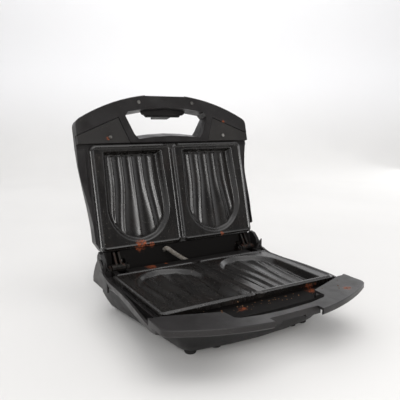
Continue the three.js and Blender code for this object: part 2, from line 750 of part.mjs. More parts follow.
function thermalFuse() {
  const fuse = drill(0, 0, 2, -6, 6, 10).rotate([90, 0, 0]);
  return fuse.translate([0, 84, WEB_UNDERSIDE - GAP - 2]);
}

// ---------------------------------------------------------------- hinge
const BRACKET_FLOOR = SEAT_FLOOR + GAP;
const BRACKET_INNER = [ARM_X - ARM_HALF - 1 - BRACKET_THICK, ARM_X - ARM_HALF - 1];
const BRACKET_OUTER = [ARM_X + ARM_HALF + 1, ARM_X + ARM_HALF + 1 + BRACKET_THICK];

function hingeBracket(side) {
  const cheek = [
    [147, BRACKET_FLOOR], [158.2, BRACKET_FLOOR], [158.2, -7.6], [160, -4.2], [160.1, HINGE_Z],
    [158.3, 2.3], [HINGE_Y, 4], [149.9, 2.3], [148.1, HINGE_Z],
  ];
  const [x0, x1] = ordered(side, BRACKET_INNER[0], BRACKET_OUTER[1]);
  const web = block(x0, x1, 147, 158.2, BRACKET_FLOOR, BRACKET_FLOOR + 2);
  const cheeks = [BRACKET_INNER, BRACKET_OUTER].map((span) => sidePrism(cheek, ...ordered(side, ...span)));
  const bore = rodAlongX(PIN_BORE, ...ordered(side, 80, 120), HINGE_Y, HINGE_Z);
  return cut(union(web, ...cheeks), bore);
}

function hingePin(side) {
  const shank = rodAlongX(PIN_RADIUS, ...ordered(side, BRACKET_INNER[0] - 1.5, 109.6), HINGE_Y, HINGE_Z);
  const inner = BRACKET_INNER[0] - GAP;
  const head = rodAlongX(PIN_RADIUS + 1.5, ...ordered(side, inner - 2, inner), HINGE_Y, HINGE_Z);
  return union(shank, head);
}

// The round-backed moulding over the outer end of each hinge pin.
function hingeCover(side) {
  const profile = [
    [150, BRACKET_FLOOR], [150, -4], [147.5, 5], [151, 12], [158, 18], [166, 19.5], [171, 14],
    [173, 4], [172, -4], [170, BRACKET_FLOOR],
  ];
  return sidePrism([...profile].reverse(), ...ordered(side, ...COVER));
}

// ---------------------------------------------------------------- lid
const LID_FRONT = -3;
const DOME = [[0, 0], [LID_SHOULDER, 0], [24, 3], [31, 9], [35, 20], [LID_HEIGHT, 34]]; // [height, inset]
const REAR_INSET_MOST = 3;
const TAIL_FLOOR = 2.6;
const TAIL_FLOOR_THICK = 2.6;
const LID_SEAT = PLATE_SKIRT + 0.4;
const SEAT_BACK = 16;
const HANDLE_CORE_TOP = 13.6;
const HINGE_CLEARANCE = 7.3;
const ARM_PLATE_Z = 14;
const ARM_SCREW = [ARM_X - 9.4, 146];
const LATCH_NOTCH = 2.9 - HANDLE_REACH; // floor of the lid's latch notch
const TONGUE_LOW = 12.6;
const TONGUE_HIGH = LATCH_PIVOT_Z - LATCH_THICK / 2 - GAP;
const LUG_INNER = LATCH_HALF + 0.6;

function lidRing(inset, rearInset = Math.min(inset, REAR_INSET_MOST)) {
  const front = LID_FRONT + inset;
  const right = [];
  for (const t of [0, 0.2, 0.4, 0.65, 0.85, 1]) {
    const y = mix(front, 118, t);
    right.push([bodyHalf(y) - inset, y]);
  }
  right.push([112 - inset, 128.5]);
  right.push([TAIL_HALF - inset, TAIL_FROM]);
  right.push([TAIL_HALF - inset, LID_REAR - rearInset - 3]);
  right.push([TAIL_HALF - inset - 3, LID_REAR - rearInset]);
  return [[0, front], ...right, [0, LID_REAR - rearInset], ...mirrored(right)];
}

// The lower edge of the lid's sides, a long wave between handle and hinge.
function lidRimProfile() {
  const points = [
    [0.5, LID_FACE_THICK + GAP], [20, 12.6], [40, 13.8], [60, 10], [80, 5.6], [100, 3.6], [140, TAIL_FLOOR],
  ];
  const curve = new THREE.SplineCurve(points.map(([y, z]) => new THREE.Vector2(y, z)));
  return [[LID_FRONT - 3, LID_FACE_THICK + GAP], ...curve.getPoints(14).map((p) => [p.x, p.y])];
}

// The finger opening narrows towards the outside of the lid.
function gripCutter() {
  return loft([
    [-1, gripOutline(0, -0.4)],
    [LID_HANDLE_THICK + 1, gripOutline(0, 8.4)],
  ]);
}

const FACE_SCREWS = [
  ["handle_left", -40, 11.5 - HANDLE_REACH],
  ["handle_right", 40, 11.5 - HANDLE_REACH],
];
const PANEL_SCREWS = [
  ["panel_left", -84.6, -10],
  ["panel_right", 84.6, -10],
];
const LID_SCREW_HEAD = 2.4;
const LID_SCREW_SHANK = 1.2;
const LID_SCREW_SEAT = 2.2;

const screwRecess = ([, x, y]) => drill(x, y, LID_SCREW_HEAD + GAP, -1, LID_SCREW_SEAT);
const screwShaft = ([, x, y]) => drill(x, y, LID_SCREW_SHANK + GAP, 0, 13);

function lidHandleShell() {
  const grip = gripOutline(WALL, 3);
  const slab = loft([
    [LID_FACE_THICK + GAP, handleOutline(0, 3)],
    [LID_SHOULDER, handleOutline(0, 3)],
    [LID_HANDLE_THICK - 0.8, handleOutline(1, 4)],
    [LID_HANDLE_THICK, handleOutline(2.6, 5.6)],
  ]);
  const core = cut(
    prism(handleOutline(WALL, -3), LID_FACE_THICK, HANDLE_CORE_TOP),
    prism(grip, 0, LID_HANDLE_THICK),
    block(-LUG_INNER - 6, LUG_INNER + 6, BEYOND_HANDLE, LATCH_NOTCH + WALL, 0, LID_HANDLE_THICK),
    ...[...FACE_SCREWS, ...PANEL_SCREWS].map(([, x, y]) => drill(x, y, 3.4, 0, LID_HANDLE_THICK, 12)),
  );
  return cut(slab, core);
}

// The seat the folded latch lies on, reaching into the finger opening.
function latchTongue() {
  const outline = [
    [35, -GRIP_FRONT - 5.5], [35, -GRIP_FRONT], [32, -GRIP_FRONT + 6], [29, -GRIP_FRONT + 7.5],
  ];
  return prism([...outline, ...mirrored(outline)], TONGUE_LOW, TONGUE_HIGH);
}

function lidShell() {
  const dome = loft(DOME.map(([z, inset]) => [z, lidRing(inset)]));
  const lowCavity = prism(
    roundedRectangle(-LID_CAVITY_HALF, LID_CAVITY_HALF, -0.6, PLATE_DEPTH + 0.8, 3),
    -1,
    LID_SEAT,
  );
  const seatHole = prism(
    roundedRectangle(-SEAT_HOLE_HALF, SEAT_HOLE_HALF, SEAT_HOLE_FRONT, SEAT_HOLE_REAR, 5),
    LID_SEAT - 1,
    SEAT_BACK + 1,
  );
  const inside = [[SEAT_BACK, WALL], [22.4, 5.4], [29, 11.4], [32.6, 22], [LID_HEIGHT - WALL, 35]];
  const highCavity = loft(
    inside.map(([z, inset]) => [z, lidRing(inset, WALL + Math.min(inset - WALL, REAR_INSET_MOST))]),
  );
  const tailHalf = TAIL_HALF - WALL;
  const tailTop = SEAT_BACK + 2;
  const tailFloorTop = TAIL_FLOOR + TAIL_FLOOR_THICK;
  const tailCavity = block(-tailHalf, tailHalf, 136, LID_REAR - WALL, tailFloorTop, tailTop);
  const rimLine = lidRimProfile();
  const belowRim = [[LID_FRONT - 3, -5], [LID_REAR + 5, -5], [LID_REAR + 5, TAIL_FLOOR], ...[...rimLine].reverse()];
  const bosses = bothSides((side) => drill(side * ARM_SCREW[0], ARM_SCREW[1], 4, ARM_PLATE_Z + 2 + GAP, LID_HEIGHT - 2, 12));
  const rimCuts = bothSides((side) => sidePrism(belowRim, ...ordered(side, 115.5, 135)));
  const tailUnder = block(-120, 120, PLATE_DEPTH, LID_REAR + 5, -5, TAIL_FLOOR);
  const frontUnder = block(-135, 135, -10, 3, -5, LID_FACE_THICK + GAP);
  const cheekSlots = bothSides((side) => {
    const [x0, x1] = ordered(side, ARM_X - 6, ARM_X + 4.6);
    return block(x0, x1, PLATE_DEPTH + 0.5, LID_REAR - WALL, -1, ARM_PLATE_Z);
  });
  const hingeNotches = bothSides((side) =>
    rodAlongX(HINGE_CLEARANCE, ...ordered(side, BRACKET_INNER[0] - 4, 125), HINGE_Y, HINGE_Z),
  );
  const leadHole = drill(...LID_LEAD_HOLE, LEAD_RADIUS + 1.4, -1, tailFloorTop + 1);
  const screwAccess = bothSides((side) =>
    drill(side * ARM_SCREW[0], ARM_SCREW[1], SCREW_HEAD + 0.8, -1, tailFloorTop + 1),
  );
  const domed = cut(dome, lowCavity, seatHole, highCavity, tailCavity);
  const held = union(domed, ...bosses);
  const tailCuts = [tailUnder, ...cheekSlots, ...hingeNotches, leadHole, ...screwAccess];
  const trimmed = cut(held, ...rimCuts, frontUnder, ...tailCuts);
  const armPilots = bothSides((side) => drill(side * ARM_SCREW[0], ARM_SCREW[1], SCREW_SHANK + GAP, ARM_PLATE_Z, 28));
  const seatForLatch = block(-LUG_INNER, LUG_INNER, BEYOND_HANDLE, -GRIP_FRONT + 13.5, TONGUE_HIGH, LID_HANDLE_THICK + 1);
  const notch = block(-LATCH_HALF, LATCH_HALF, BEYOND_HANDLE, LATCH_NOTCH, -1, LID_HANDLE_THICK + 1);
  const barrelRoom = rodAlongX(LATCH_BARREL + 0.4, -LUG_INNER, LUG_INNER, LATCH_PIVOT_Y, LATCH_PIVOT_Z, 12);
  const lugs = bothSides((side) => {
    const [x0, x1] = ordered(side, LUG_INNER, LUG_INNER + 3.4);
    const barrel = rodAlongX(LATCH_BARREL, x0, x1, LATCH_PIVOT_Y, LATCH_PIVOT_Z, 12);
    return union(barrel, block(x0, x1, LATCH_PIVOT_Y, -60, LATCH_PIVOT_Z - 3, LATCH_PIVOT_Z));
  });
  const pinHole = rodAlongX(LATCH_PIN_RADIUS + GAP, -LUG_INNER - 3.6, LUG_INNER + 3.6, LATCH_PIVOT_Y, LATCH_PIVOT_Z, 12);
  const handle = cut(union(lidHandleShell(), ...lugs), gripCutter());
  const whole = union(cut(union(handle, latchTongue()), seatForLatch, notch, barrelRoom, pinHole), trimmed);
  return cut(whole, ...armPilots, ...[...FACE_SCREWS, ...PANEL_SCREWS].map(screwShaft));
}

// The corner panels of the handle's inner face, let in behind the arch round the opening.
function panelOutline(side, grow) {
  const outline = [
    [HANDLE_HALF - 0.4 + grow, -12.4 - grow],
    [HANDLE_HALF - 0.4 + grow, HANDLE_REAR - 0.4 + grow],
    [58.4 - grow, HANDLE_REAR - 0.4 + grow],
    [71 - grow * 0.6, -35.2 - grow],
  ];
  return side > 0 ? outline : mirrored(outline);
}

function lidHandlePlate() {
  const plate = loft([
    [0, handleOutline(0.9)],
    [0.9, handleOutline(0)],
    [LID_FACE_THICK, handleOutline(0)],
  ]);
  const panels = bothSides((side) => prism(panelOutline(side, 0.4 + GAP), -1, LID_FACE_THICK + 1));
  const pocket = cut(
    prism(handleOutline(WALL), WALL, LID_FACE_THICK + 1),
    prism(gripOutline(WALL + 0.6, 0), 0, LID_FACE_THICK + 2),
    ...bothSides((side) => prism(panelOutline(side, WALL), 0, LID_FACE_THICK + 2)),
    block(-LATCH_HALF - WALL, LATCH_HALF + WALL, BEYOND_HANDLE, LATCH_NOTCH + WALL, 0, LID_FACE_THICK + 2),
    ...FACE_SCREWS.map(([, x, y]) => drill(x, y, 4.4, 0, LID_FACE_THICK + 2, 12)),
  );
  const notch = block(-LATCH_HALF, LATCH_HALF, BEYOND_HANDLE, LATCH_NOTCH, -1, LID_FACE_THICK + 1);
  const trimmed = cut(plate, pocket, ...panels, notch, gripCutter());
  return cut(trimmed, ...FACE_SCREWS.map(screwRecess), ...FACE_SCREWS.map(screwShaft));
}

function lidCornerPanel(side) {
  const [, x, y] = PANEL_SCREWS[side > 0 ? 1 : 0];
  const top = LID_FACE_THICK - 0.1;
  const plate = cut(
    prism(panelOutline(side, 0), 0.5, top),
    cut(prism(panelOutline(side, -WALL), 0.5 + WALL, top + 1), drill(x, y, 4.4, 0, top + 2, 12)),
  );
  return cut(plate, screwRecess(["", x, y]), screwShaft(["", x, y]));
}

const turnedOver = (made) => made.rotate([0, 180, 0]);

// Two cheeks and a barrel that turn on the pin, with a foot screwed up inside the lid's tail.
function lidHingeArm(side) {
  const barrel = rodAlongX(KNUCKLE_RADIUS, ...ordered(side, ARM_X - ARM_HALF, ARM_X + ARM_HALF), HINGE_Y, HINGE_Z);
  const inner = LID_REAR - WALL - GAP;
  const profile = [
    [133.6, -0.5], [152, HINGE_Z - 5.9], [156, HINGE_Z - 5.9], [159.6, HINGE_Z], [158, 2.6],
    [inner, 5], [inner, ARM_PLATE_Z + 1], [137, ARM_PLATE_Z + 1], [133.6, 8],
  ];
  const cheeks = [-5, 1].map((from) =>
    sidePrism(profile, ...ordered(side, ARM_X + from, ARM_X + from + BRACKET_THICK)),
  );
  const [x0, x1] = ordered(side, ARM_X - 13, ARM_X + 4);
  const foot = block(x0, x1, 137, inner, ARM_PLATE_Z, ARM_PLATE_Z + 2);
  const bore = rodAlongX(PIN_BORE, ...ordered(side, 80, 120), HINGE_Y, HINGE_Z);
  const [screwX, screwY] = ARM_SCREW;
  const access = drill(side * screwX, screwY, SCREW_SHANK + GAP, ARM_PLATE_Z - 1, ARM_PLATE_Z + 3);
  return cut(union(barrel, ...cheeks, foot), bore, access);
}

// ---------------------------------------------------------------- latch
const LATCH_BARREL = 2.2;
const HOOK_HALF = 12.5;
const HOOK_REACH = 12;
const HOOK_THICK = 2.2;

// Folded back over the lid's handle; it swings over the front edge and hooks under the base.
function latchClip() {
  const half = LATCH_HALF - 0.8;
  const end = LATCH_PIVOT_Y + LATCH_LENGTH;
  const low = LATCH_PIVOT_Z - LATCH_THICK / 2;
  const high = LATCH_PIVOT_Z + LATCH_THICK / 2;
  const leg = prism(
    [[-half, LATCH_PIVOT_Y], [half, LATCH_PIVOT_Y], [half, end - 4], [half - 4, end], [4 - half, end], [-half, end - 4]],
    low,
    high,
  );
  const barrel = rodAlongX(LATCH_BARREL, -half, half, LATCH_PIVOT_Y, LATCH_PIVOT_Z, 12);
  const hook = block(-HOOK_HALF, HOOK_HALF, end - HOOK_THICK, end, low, LATCH_PIVOT_Z + HOOK_REACH);
  const bore = rodAlongX(LATCH_PIN_RADIUS + GAP, -half - 1, half + 1, LATCH_PIVOT_Y, LATCH_PIVOT_Z, 12);
  return cut(union(leg, barrel, hook), bore);
}

function latchPin() {
  const half = LUG_INNER + 3.2;
  return rodAlongX(LATCH_PIN_RADIUS, -half, half, LATCH_PIVOT_Y, LATCH_PIVOT_Z, 12);
}

// ---------------------------------------------------------------- lead between base and lid
const LID_LEAD_HOLE = [-27, 138.5];

// Where a point of the shut lid stands once the lid is open.
function opened(x, y, z) {
  const angle = THREE.MathUtils.degToRad(OPEN_ANGLE);
  const dy = y - HINGE_Y;
  const dz = z - HINGE_Z;
  return [
    x,
    HINGE_Y + dy * Math.cos(angle) + dz * Math.sin(angle),
    HINGE_Z - dy * Math.sin(angle) + dz * Math.cos(angle),
  ];
}

function linkLead() {
  const [lidX, lidY] = LID_LEAD_HOLE;
  const [baseX, baseY] = LEAD_HOLE;
  const path = [
    opened(lidX, lidY + 3, 15),
    opened(lidX, lidY + 2, 9),
    opened(lidX, lidY, 3),
    opened(lidX + 1.5, lidY, -1.5),
    [lidX + 9, 155, 7],
    [-8, 153, -0.5],
    [3, 151.5, -8],
    [baseX, baseY, -17],
    [baseX, baseY, -32],
  ];
  return tube(path, LEAD_RADIUS, 8, 16);
}

// ---------------------------------------------------------------- assembly
const press = new THREE.Group();
const base = new THREE.Group();
const lidPivot = new THREE.Group();
const lid = new THREE.Group();
press.add(base, lidPivot);
lidPivot.add(lid);
lidPivot.position.set(0, HINGE_Y, HINGE_Z);
lid.position.set(0, -HINGE_Y, -HINGE_Z);

const SIDES = [["left", -1], ["right", 1]];

part(base, "base_surround", baseSurround(), "casing");
part(base, "base_tub", baseTub(), "tub");
part(base, "lower_cooking_plate", cookingPlate(), "nonStick");
part(base, "lower_heating_element", heatingElement(), "element");
part(base, "lower_element_strap", elementStrap(), "steel");
part(base, "lower_heat_reflector", heatReflector(), "brightSheet");
part(base, "thermostat", thermostat(), "ceramic");
part(base, "thermal_fuse", thermalFuse(), "steel");
part(base, "terminal_block", block(-15, 15, 118, 130, TUB_BOTTOM + 3.3, TUB_BOTTOM + 13), "ceramic");
part(base, "cord_inlet_bush", inletBush(), "rubber");
for (const [place, x, y] of FEET) {
  part(base, "foot_" + place, rubberFoot().translate([x, y, 0]), "rubber");
}
for (const [place, x, y] of TUB_SCREWS) {
  const length = SEAT_FLOOR + 1 - TUB_SCREW_SEAT;
  part(base, "tub_screw_" + place, screw(length).translate([x, y, TUB_SCREW_SEAT - 2 - GAP]), "steel");
}
for (const [place, side] of SIDES) {
  part(base, "hinge_bracket_" + place, hingeBracket(side), "steel");
  part(base, "hinge_pin_" + place, hingePin(side), "steel");
  part(base, "hinge_cover_" + place, hingeCover(side), "blackPlastic");
}
part(base, "link_lead", linkLead(), "sleeve");

part(lid, "lid_shell", lidShell(), "casing");
part(lid, "lid_handle_plate", lidHandlePlate(), "casing");
part(lid, "upper_cooking_plate", turnedOver(cookingPlate()), "nonStick");
part(lid, "upper_heating_element", turnedOver(heatingElement()), "element");
part(lid, "upper_element_strap", turnedOver(elementStrap()), "steel");
part(lid, "upper_heat_reflector", turnedOver(heatReflector()), "brightSheet");
for (const [place, side] of SIDES) {
  part(lid, "lid_corner_panel_" + place, lidCornerPanel(side), "panel");
  part(lid, "lid_hinge_arm_" + place, lidHingeArm(side), "steel");
  const armScrew = screw(10).translate([side * ARM_SCREW[0], ARM_SCREW[1], ARM_PLATE_Z - 2 - GAP]);
  part(lid, "hinge_arm_screw_" + place, armScrew, "steel");
}
for (const [place, x, y] of [...FACE_SCREWS, ...PANEL_SCREWS]) {
  const made = screw(11, LID_SCREW_HEAD, LID_SCREW_SHANK).translate([x, y, LID_SCREW_SEAT - 2 - GAP]);
  part(lid, "lid_screw_" + place, made, "steel");
}
part(lid, "latch_pin", latchPin(), "steel");
part(lid, "latch_clip", latchClip(), "blackPlastic");

lidPivot.rotation.x = -THREE.MathUtils.degToRad(OPEN_ANGLE);
press.updateMatrixWorld(true);
const extent = new THREE.Box3().setFromObject(press, true);
const middle = extent.getCenter(new THREE.Vector3());
press.position.set(-middle.x, -middle.y, -extent.min.z);

export default press;
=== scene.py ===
# %% [markdown]
# # A two-slice panini press, standing open
#
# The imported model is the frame: every housing, plate, hinge and screw already stands where it
# belongs and moves as it should. This lesson dresses it. It casts the two fluted cooking plates
# again at a fine pitch, rounds the edges of the mouldings, weaves the sleeve of the lead,
# scatters the crumbs and paints each surface with a procedural material. All lengths are in
# metres unless a name says otherwise.

# %% Load the frame
import json
import math

import bmesh
import bpy
import numpy as np
from mathutils import Matrix, Vector


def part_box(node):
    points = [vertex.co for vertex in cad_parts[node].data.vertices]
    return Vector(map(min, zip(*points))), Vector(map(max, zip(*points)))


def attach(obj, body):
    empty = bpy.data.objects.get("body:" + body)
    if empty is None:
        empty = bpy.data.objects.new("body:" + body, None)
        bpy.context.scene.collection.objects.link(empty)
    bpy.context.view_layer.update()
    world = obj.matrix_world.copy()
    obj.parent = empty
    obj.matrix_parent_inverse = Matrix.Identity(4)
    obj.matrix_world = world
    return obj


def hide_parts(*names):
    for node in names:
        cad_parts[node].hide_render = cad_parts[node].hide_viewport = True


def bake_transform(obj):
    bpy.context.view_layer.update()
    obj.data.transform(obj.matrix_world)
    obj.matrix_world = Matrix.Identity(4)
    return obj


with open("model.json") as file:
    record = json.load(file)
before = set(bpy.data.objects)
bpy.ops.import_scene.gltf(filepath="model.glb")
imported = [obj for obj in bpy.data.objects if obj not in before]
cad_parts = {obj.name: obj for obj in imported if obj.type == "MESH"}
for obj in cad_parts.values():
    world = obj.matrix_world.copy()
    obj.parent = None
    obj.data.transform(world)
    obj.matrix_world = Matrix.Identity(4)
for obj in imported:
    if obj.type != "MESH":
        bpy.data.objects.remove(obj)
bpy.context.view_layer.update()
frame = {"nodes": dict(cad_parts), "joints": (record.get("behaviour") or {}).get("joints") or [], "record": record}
nodes = frame["nodes"]

# %% [markdown]
# ## Where things are
#
# The plates were drawn lying shut on each other, and the lid was then turned open about the
# hinge. To make a lid piece, the easiest way is to draw it in the shut position and turn it open
# with the same rotation. The lower plate's box gives the front edge of the plates and the plane
# where they meet.

# %% Reference places
MM = 0.001
OPEN_ANGLE = math.radians(104.75)
plate_low, plate_high = (Vector(corner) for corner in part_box("lower_cooking_plate"))
PLATE_HALF = plate_high.x
FRONT_EDGE = plate_low.y
MEETING = plate_high.z + 0.4 * MM
HINGE = Vector(next(j["pos_m"] for j in frame["joints"] if j["name"] == "lid_hinge"))
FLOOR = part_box("foot_front_left")[0][2]

to_hinge = Matrix.Translation(HINGE)
OPENING = to_hinge @ Matrix.Rotation(-OPEN_ANGLE, 4, "X") @ to_hinge.inverted()


def at(x, y, z):
    """A point in millimetres from the middle of the plates' front edge, where they meet."""
    return Vector((x * MM, FRONT_EDGE + y * MM, MEETING + z * MM))


print("plates meet at z", round(MEETING, 4), "- hinge at", tuple(round(v, 4) for v in HINGE))

# %% [markdown]
# ## The camera, the floor and the light
#
# The press is seen from a little above the worktop and well to its left. A long lens and soft,
# wide lights keep the black surfaces readable: they are seen mostly by what they reflect. The
# floor is one pale sheet that curves up into a backdrop, so there is no horizon line.

# %% Camera
camera_data = bpy.data.cameras.new("camera")
camera_data.lens = 43.0
camera_data.sensor_width = 36.0
camera = bpy.data.objects.new("camera", camera_data)
camera.location = at(-296.2, -380.3, 178.7)
view_direction = Vector((0.50283, 0.84815, -0.16671))
CAMERA_ROLL = math.radians(0.137)
roll = Matrix.Rotation(CAMERA_ROLL, 4, "Z")
camera.matrix_world = (
    Matrix.Translation(camera.location)
    @ view_direction.to_track_quat("-Z", "Y").to_matrix().to_4x4()
    @ roll
)
bpy.context.collection.objects.link(camera)
bpy.context.scene.camera = camera
bpy.context.scene.view_settings.view_transform = "Standard"
print("camera at", tuple(round(v, 3) for v in camera.location), "- lens", camera_data.lens)


# %% A helper for meshes
def new_object(name, vertices, faces, material=None):
    """A mesh object at the origin, its place in its vertices."""
    mesh = bpy.data.meshes.new(name)
    mesh.from_pydata([tuple(v) for v in vertices], [], faces)
    mesh.update()
    made = bpy.data.objects.new(name, mesh)
    bpy.context.collection.objects.link(made)
    if material:
        mesh.materials.append(material)
    return made


# %% Floor and backdrop
FLOOR_START = -7.0
BEND_START = 1.3
BEND_RADIUS = 0.7
BEND_STEPS = 12
BACKDROP_TOP = 3.2
FLOOR_HALF = 6.0
AHEAD = (0.5, 0.86)  # the way the sheet runs, as the camera looks

sweep = [(FLOOR_START, 0.0), (BEND_START, 0.0)]
for step in range(1, BEND_STEPS + 1):
    turn = math.pi / 2 * step / BEND_STEPS
    rise = BEND_RADIUS * (1 - math.cos(turn))
    sweep.append((BEND_START + BEND_RADIUS * math.sin(turn), rise))
sweep.append((BEND_START + BEND_RADIUS, BACKDROP_TOP))
floor_points = []
for along, height in sweep:
    for across in (-FLOOR_HALF, FLOOR_HALF):
        x = across * AHEAD[1] + along * AHEAD[0]
        y = along * AHEAD[1] - across * AHEAD[0]
        floor_points.append((x, y, FLOOR + height))
floor_faces = [(2 * i, 2 * i + 1, 2 * i + 3, 2 * i + 2) for i in range(len(sweep) - 1)]
floor = new_object("floor", floor_points, floor_faces)
for polygon in floor.data.polygons:
    polygon.use_smooth = True
print("floor sheet:", len(floor.data.polygons), "faces")


# %% Lights
def soft_light(name, place, aim, width, height, watts, tint):
    data = bpy.data.lights.new(name, "AREA")
    data.shape = "RECTANGLE"
    data.size = width
    data.size_y = height
    data.energy = watts
    data.color = tint
    lamp = bpy.data.objects.new(name, data)
    lamp.location = place
    lamp.rotation_euler = (Vector(aim) - Vector(place)).to_track_quat("-Z", "Y").to_euler()
    bpy.context.collection.objects.link(lamp)


WARM = (1.0, 0.985, 0.97)
NEUTRAL = (1.0, 0.99, 0.98)
COOL = (0.98, 0.99, 1.0)
# Name, place, aim, width, height, watts, tint.
LIGHTS = [
    ("ceiling", (0.1, -0.45, 1.7), (0, 0.0, 0.05), 1.6, 1.4, 9, WARM),
    ("front_left", (-0.42, -1.15, 0.4), (0, 0.05, 0.12), 0.24, 0.75, 8, NEUTRAL),
    ("window_right", (1.5, 0.3, 0.42), (0, 0, 0.12), 1.1, 0.8, 3, COOL),
    ("wall_wash", (0.5, 0.9, 1.9), (1.2, 2.0, 0.7), 1.6, 0.8, 12, (1, 1, 1)),
]
for light in LIGHTS:
    soft_light(*light)

# The room: bright behind the press and overhead, dim on the side of the camera.
world = bpy.data.worlds.new("studio")
world.use_nodes = True
room = world.node_tree
heading = room.nodes.new("ShaderNodeTexCoord")
parts = room.nodes.new("ShaderNodeSeparateXYZ")
room.links.new(heading.outputs["Generated"], parts.inputs[0])
fade = room.nodes.new("ShaderNodeMapRange")
fade.interpolation_type = "SMOOTHSTEP"
room.links.new(parts.outputs["Y"], fade.inputs["Value"])
ROOM_FADE = {"From Min": -0.85, "From Max": -0.25, "To Min": 0.2, "To Max": 1.06}
for socket, value in ROOM_FADE.items():
    fade.inputs[socket].default_value = value
background = room.nodes["Background"]
background.inputs["Color"].default_value = (0.985, 0.985, 1.0, 1)
room.links.new(fade.outputs["Result"], background.inputs["Strength"])
bpy.context.scene.world = world

# %% [markdown]
# ## Building materials
#
# A shader tree is easier to read when each line says one thing. These helpers add a node, join a
# value to a socket and hand back the output. Every pattern reads Object coordinates, so it stays
# on the surface when the lid moves.


# %% Shader helpers
class Shader:
    """A material with one Principled shader and a few ways to add patterns to it."""

    def __init__(self, name, roughness=0.5, metallic=0.0, specular=0.5):
        self.material = bpy.data.materials.new(name)
        self.material.use_nodes = True
        self.tree = self.material.node_tree
        self.surface = self.tree.nodes["Principled BSDF"]
        self.surface.inputs["Roughness"].default_value = roughness
        self.surface.inputs["Metallic"].default_value = metallic
        self.surface.inputs["Specular IOR Level"].default_value = specular
        coordinates = self.tree.nodes.new("ShaderNodeTexCoord")
        self.place = coordinates.outputs["Object"]

    def node(self, kind, inputs=None, **settings):
        made = self.tree.nodes.new(kind)
        for key, value in settings.items():
            setattr(made, key, value)
        for key, value in (inputs or {}).items():
            self.put(made.inputs[key], value)
        return made

    def put(self, socket, value):
        if isinstance(value, bpy.types.NodeSocket):
            self.tree.links.new(value, socket)
        else:
            socket.default_value = value

    def noise(self, size, detail=3.0, roughness=0.55, at_place=None):
        """Noise whose blotches are about size metres across."""
        inputs = {
            "Vector": at_place or self.place,
            "Scale": 1 / size,
            "Detail": detail,
            "Roughness": roughness,
        }
        return self.node("ShaderNodeTexNoise", inputs).outputs["Fac"]

    def math(self, operation, a, b=0.0, clamp=False):
        made = self.node("ShaderNodeMath", {0: a, 1: b}, operation=operation, use_clamp=clamp)
        return made.outputs[0]

    def window(self, value, low, high, to_low=0.0, to_high=1.0):
        """Stretches low..high to to_low..to_high, with soft ends."""
        inputs = {
            "Value": value,
            "From Min": low,
            "From Max": high,
            "To Min": to_low,
            "To Max": to_high,
        }
        made = self.node("ShaderNodeMapRange", inputs, interpolation_type="SMOOTHSTEP")
        return made.outputs["Result"]

    def blend(self, amount, a, b):
        made = self.node("ShaderNodeMix", data_type="RGBA")
        self.put(made.inputs["Factor"], amount)
        self.put(made.inputs["A"], a)
        self.put(made.inputs["B"], b)
        return made.outputs["Result"]

    def spot(self, centre, radius, softness):
        """1 near a place in the frame, falling to 0 at radius."""
        ends = {0: self.place, 1: tuple(centre)}
        gap = self.node("ShaderNodeVectorMath", ends, operation="DISTANCE")
        return self.window(gap.outputs["Value"], radius * (1 - softness), radius, 1.0, 0.0)

    def colour(self, value):
        self.put(self.surface.inputs["Base Color"], value)

    def bump(self, height, distance, strength=1.0, under=None):
        inputs = {"Height": height, "Distance": distance, "Strength": strength}
        made = self.node("ShaderNodeBump", inputs)
        if under:
            self.tree.links.new(under, made.inputs["Normal"])
        self.tree.links.new(made.outputs["Normal"], self.surface.inputs["Normal"])
        return made.outputs["Normal"]


def rgb(red, green, blue):
    """A colour given as it looks on a screen, 0 to 255, as the linear light a shader wants."""
    linear = []
    for c in (red, green, blue):
        linear.append((c / 255 / 12.92) if c < 10.3 else ((c / 255 + 0.055) / 1.055) ** 2.4)
    return (*linear, 1.0)


print("a mid grey of 128 is", round(rgb(128, 128, 128)[0], 3), "in linear light")


# %% [markdown]
# ### Rust
#
# Steam condenses at the hinge and on the shelf, and rusty water from the steel parts has left
# stains there: at the foot of the upper plate, on the ledge below it, inside the front opening
# and at a few screws. One helper lays rust on any material at a list of places, broken up by
# noise so that no patch has a clean edge.

# %% Rust
RUST_PLACES = [
    (OPENING @ at(-60, 130, 0.5), 20),
    (OPENING @ at(-46, 131, 0.5), 10),
    (OPENING @ at(62, 129, 0.5), 7),
    (at(-58, 139, -1), 17),
    (at(-36, 142, -1), 6),
    (at(-26, -10, -10), 12),
    (at(72, -5, -9), 18),
    (at(82, -3, -6), 8),
    (at(93, -36.6, -1), 12),
    (OPENING @ at(-87, -9, 0), 7),
    (OPENING @ at(88, -30, 0), 5),
]


RUST_SOFTNESS = 0.85
DARK_RUST = rgb(48, 26, 18)
BRIGHT_RUST = rgb(158, 76, 34)


def add_rust(shader, clean, amount=1.0):
    """Mixes rust into the clean colour and returns (colour, rust mask)."""
    broken = shader.noise(0.0035, 6.0, 0.7)
    total = None
    for centre, radius in RUST_PLACES:
        spot = shader.spot(centre, radius * MM, RUST_SOFTNESS)
        total = spot if total is None else shader.math("MAXIMUM", total, spot)
    mask = shader.window(shader.math("MULTIPLY", total, broken), 0.32, 0.54, 0.0, amount)
    shade = shader.window(shader.noise(0.0018, 4.0), 0.3, 0.7)
    rust = shader.blend(shade, DARK_RUST, BRIGHT_RUST)
    return shader.blend(mask, clean, rust), mask


print("places with rust:", len(RUST_PLACES))


# %% [markdown]
# ### Moulded plastic
#
# The casing is a warm dark grey plastic with a fine spark-eroded grain. Years of wiping have
# polished it in places and left a grey haze in others. So the colour drifts slowly over the
# surface, the roughness follows a second noise, and a fine bump gives the grain.


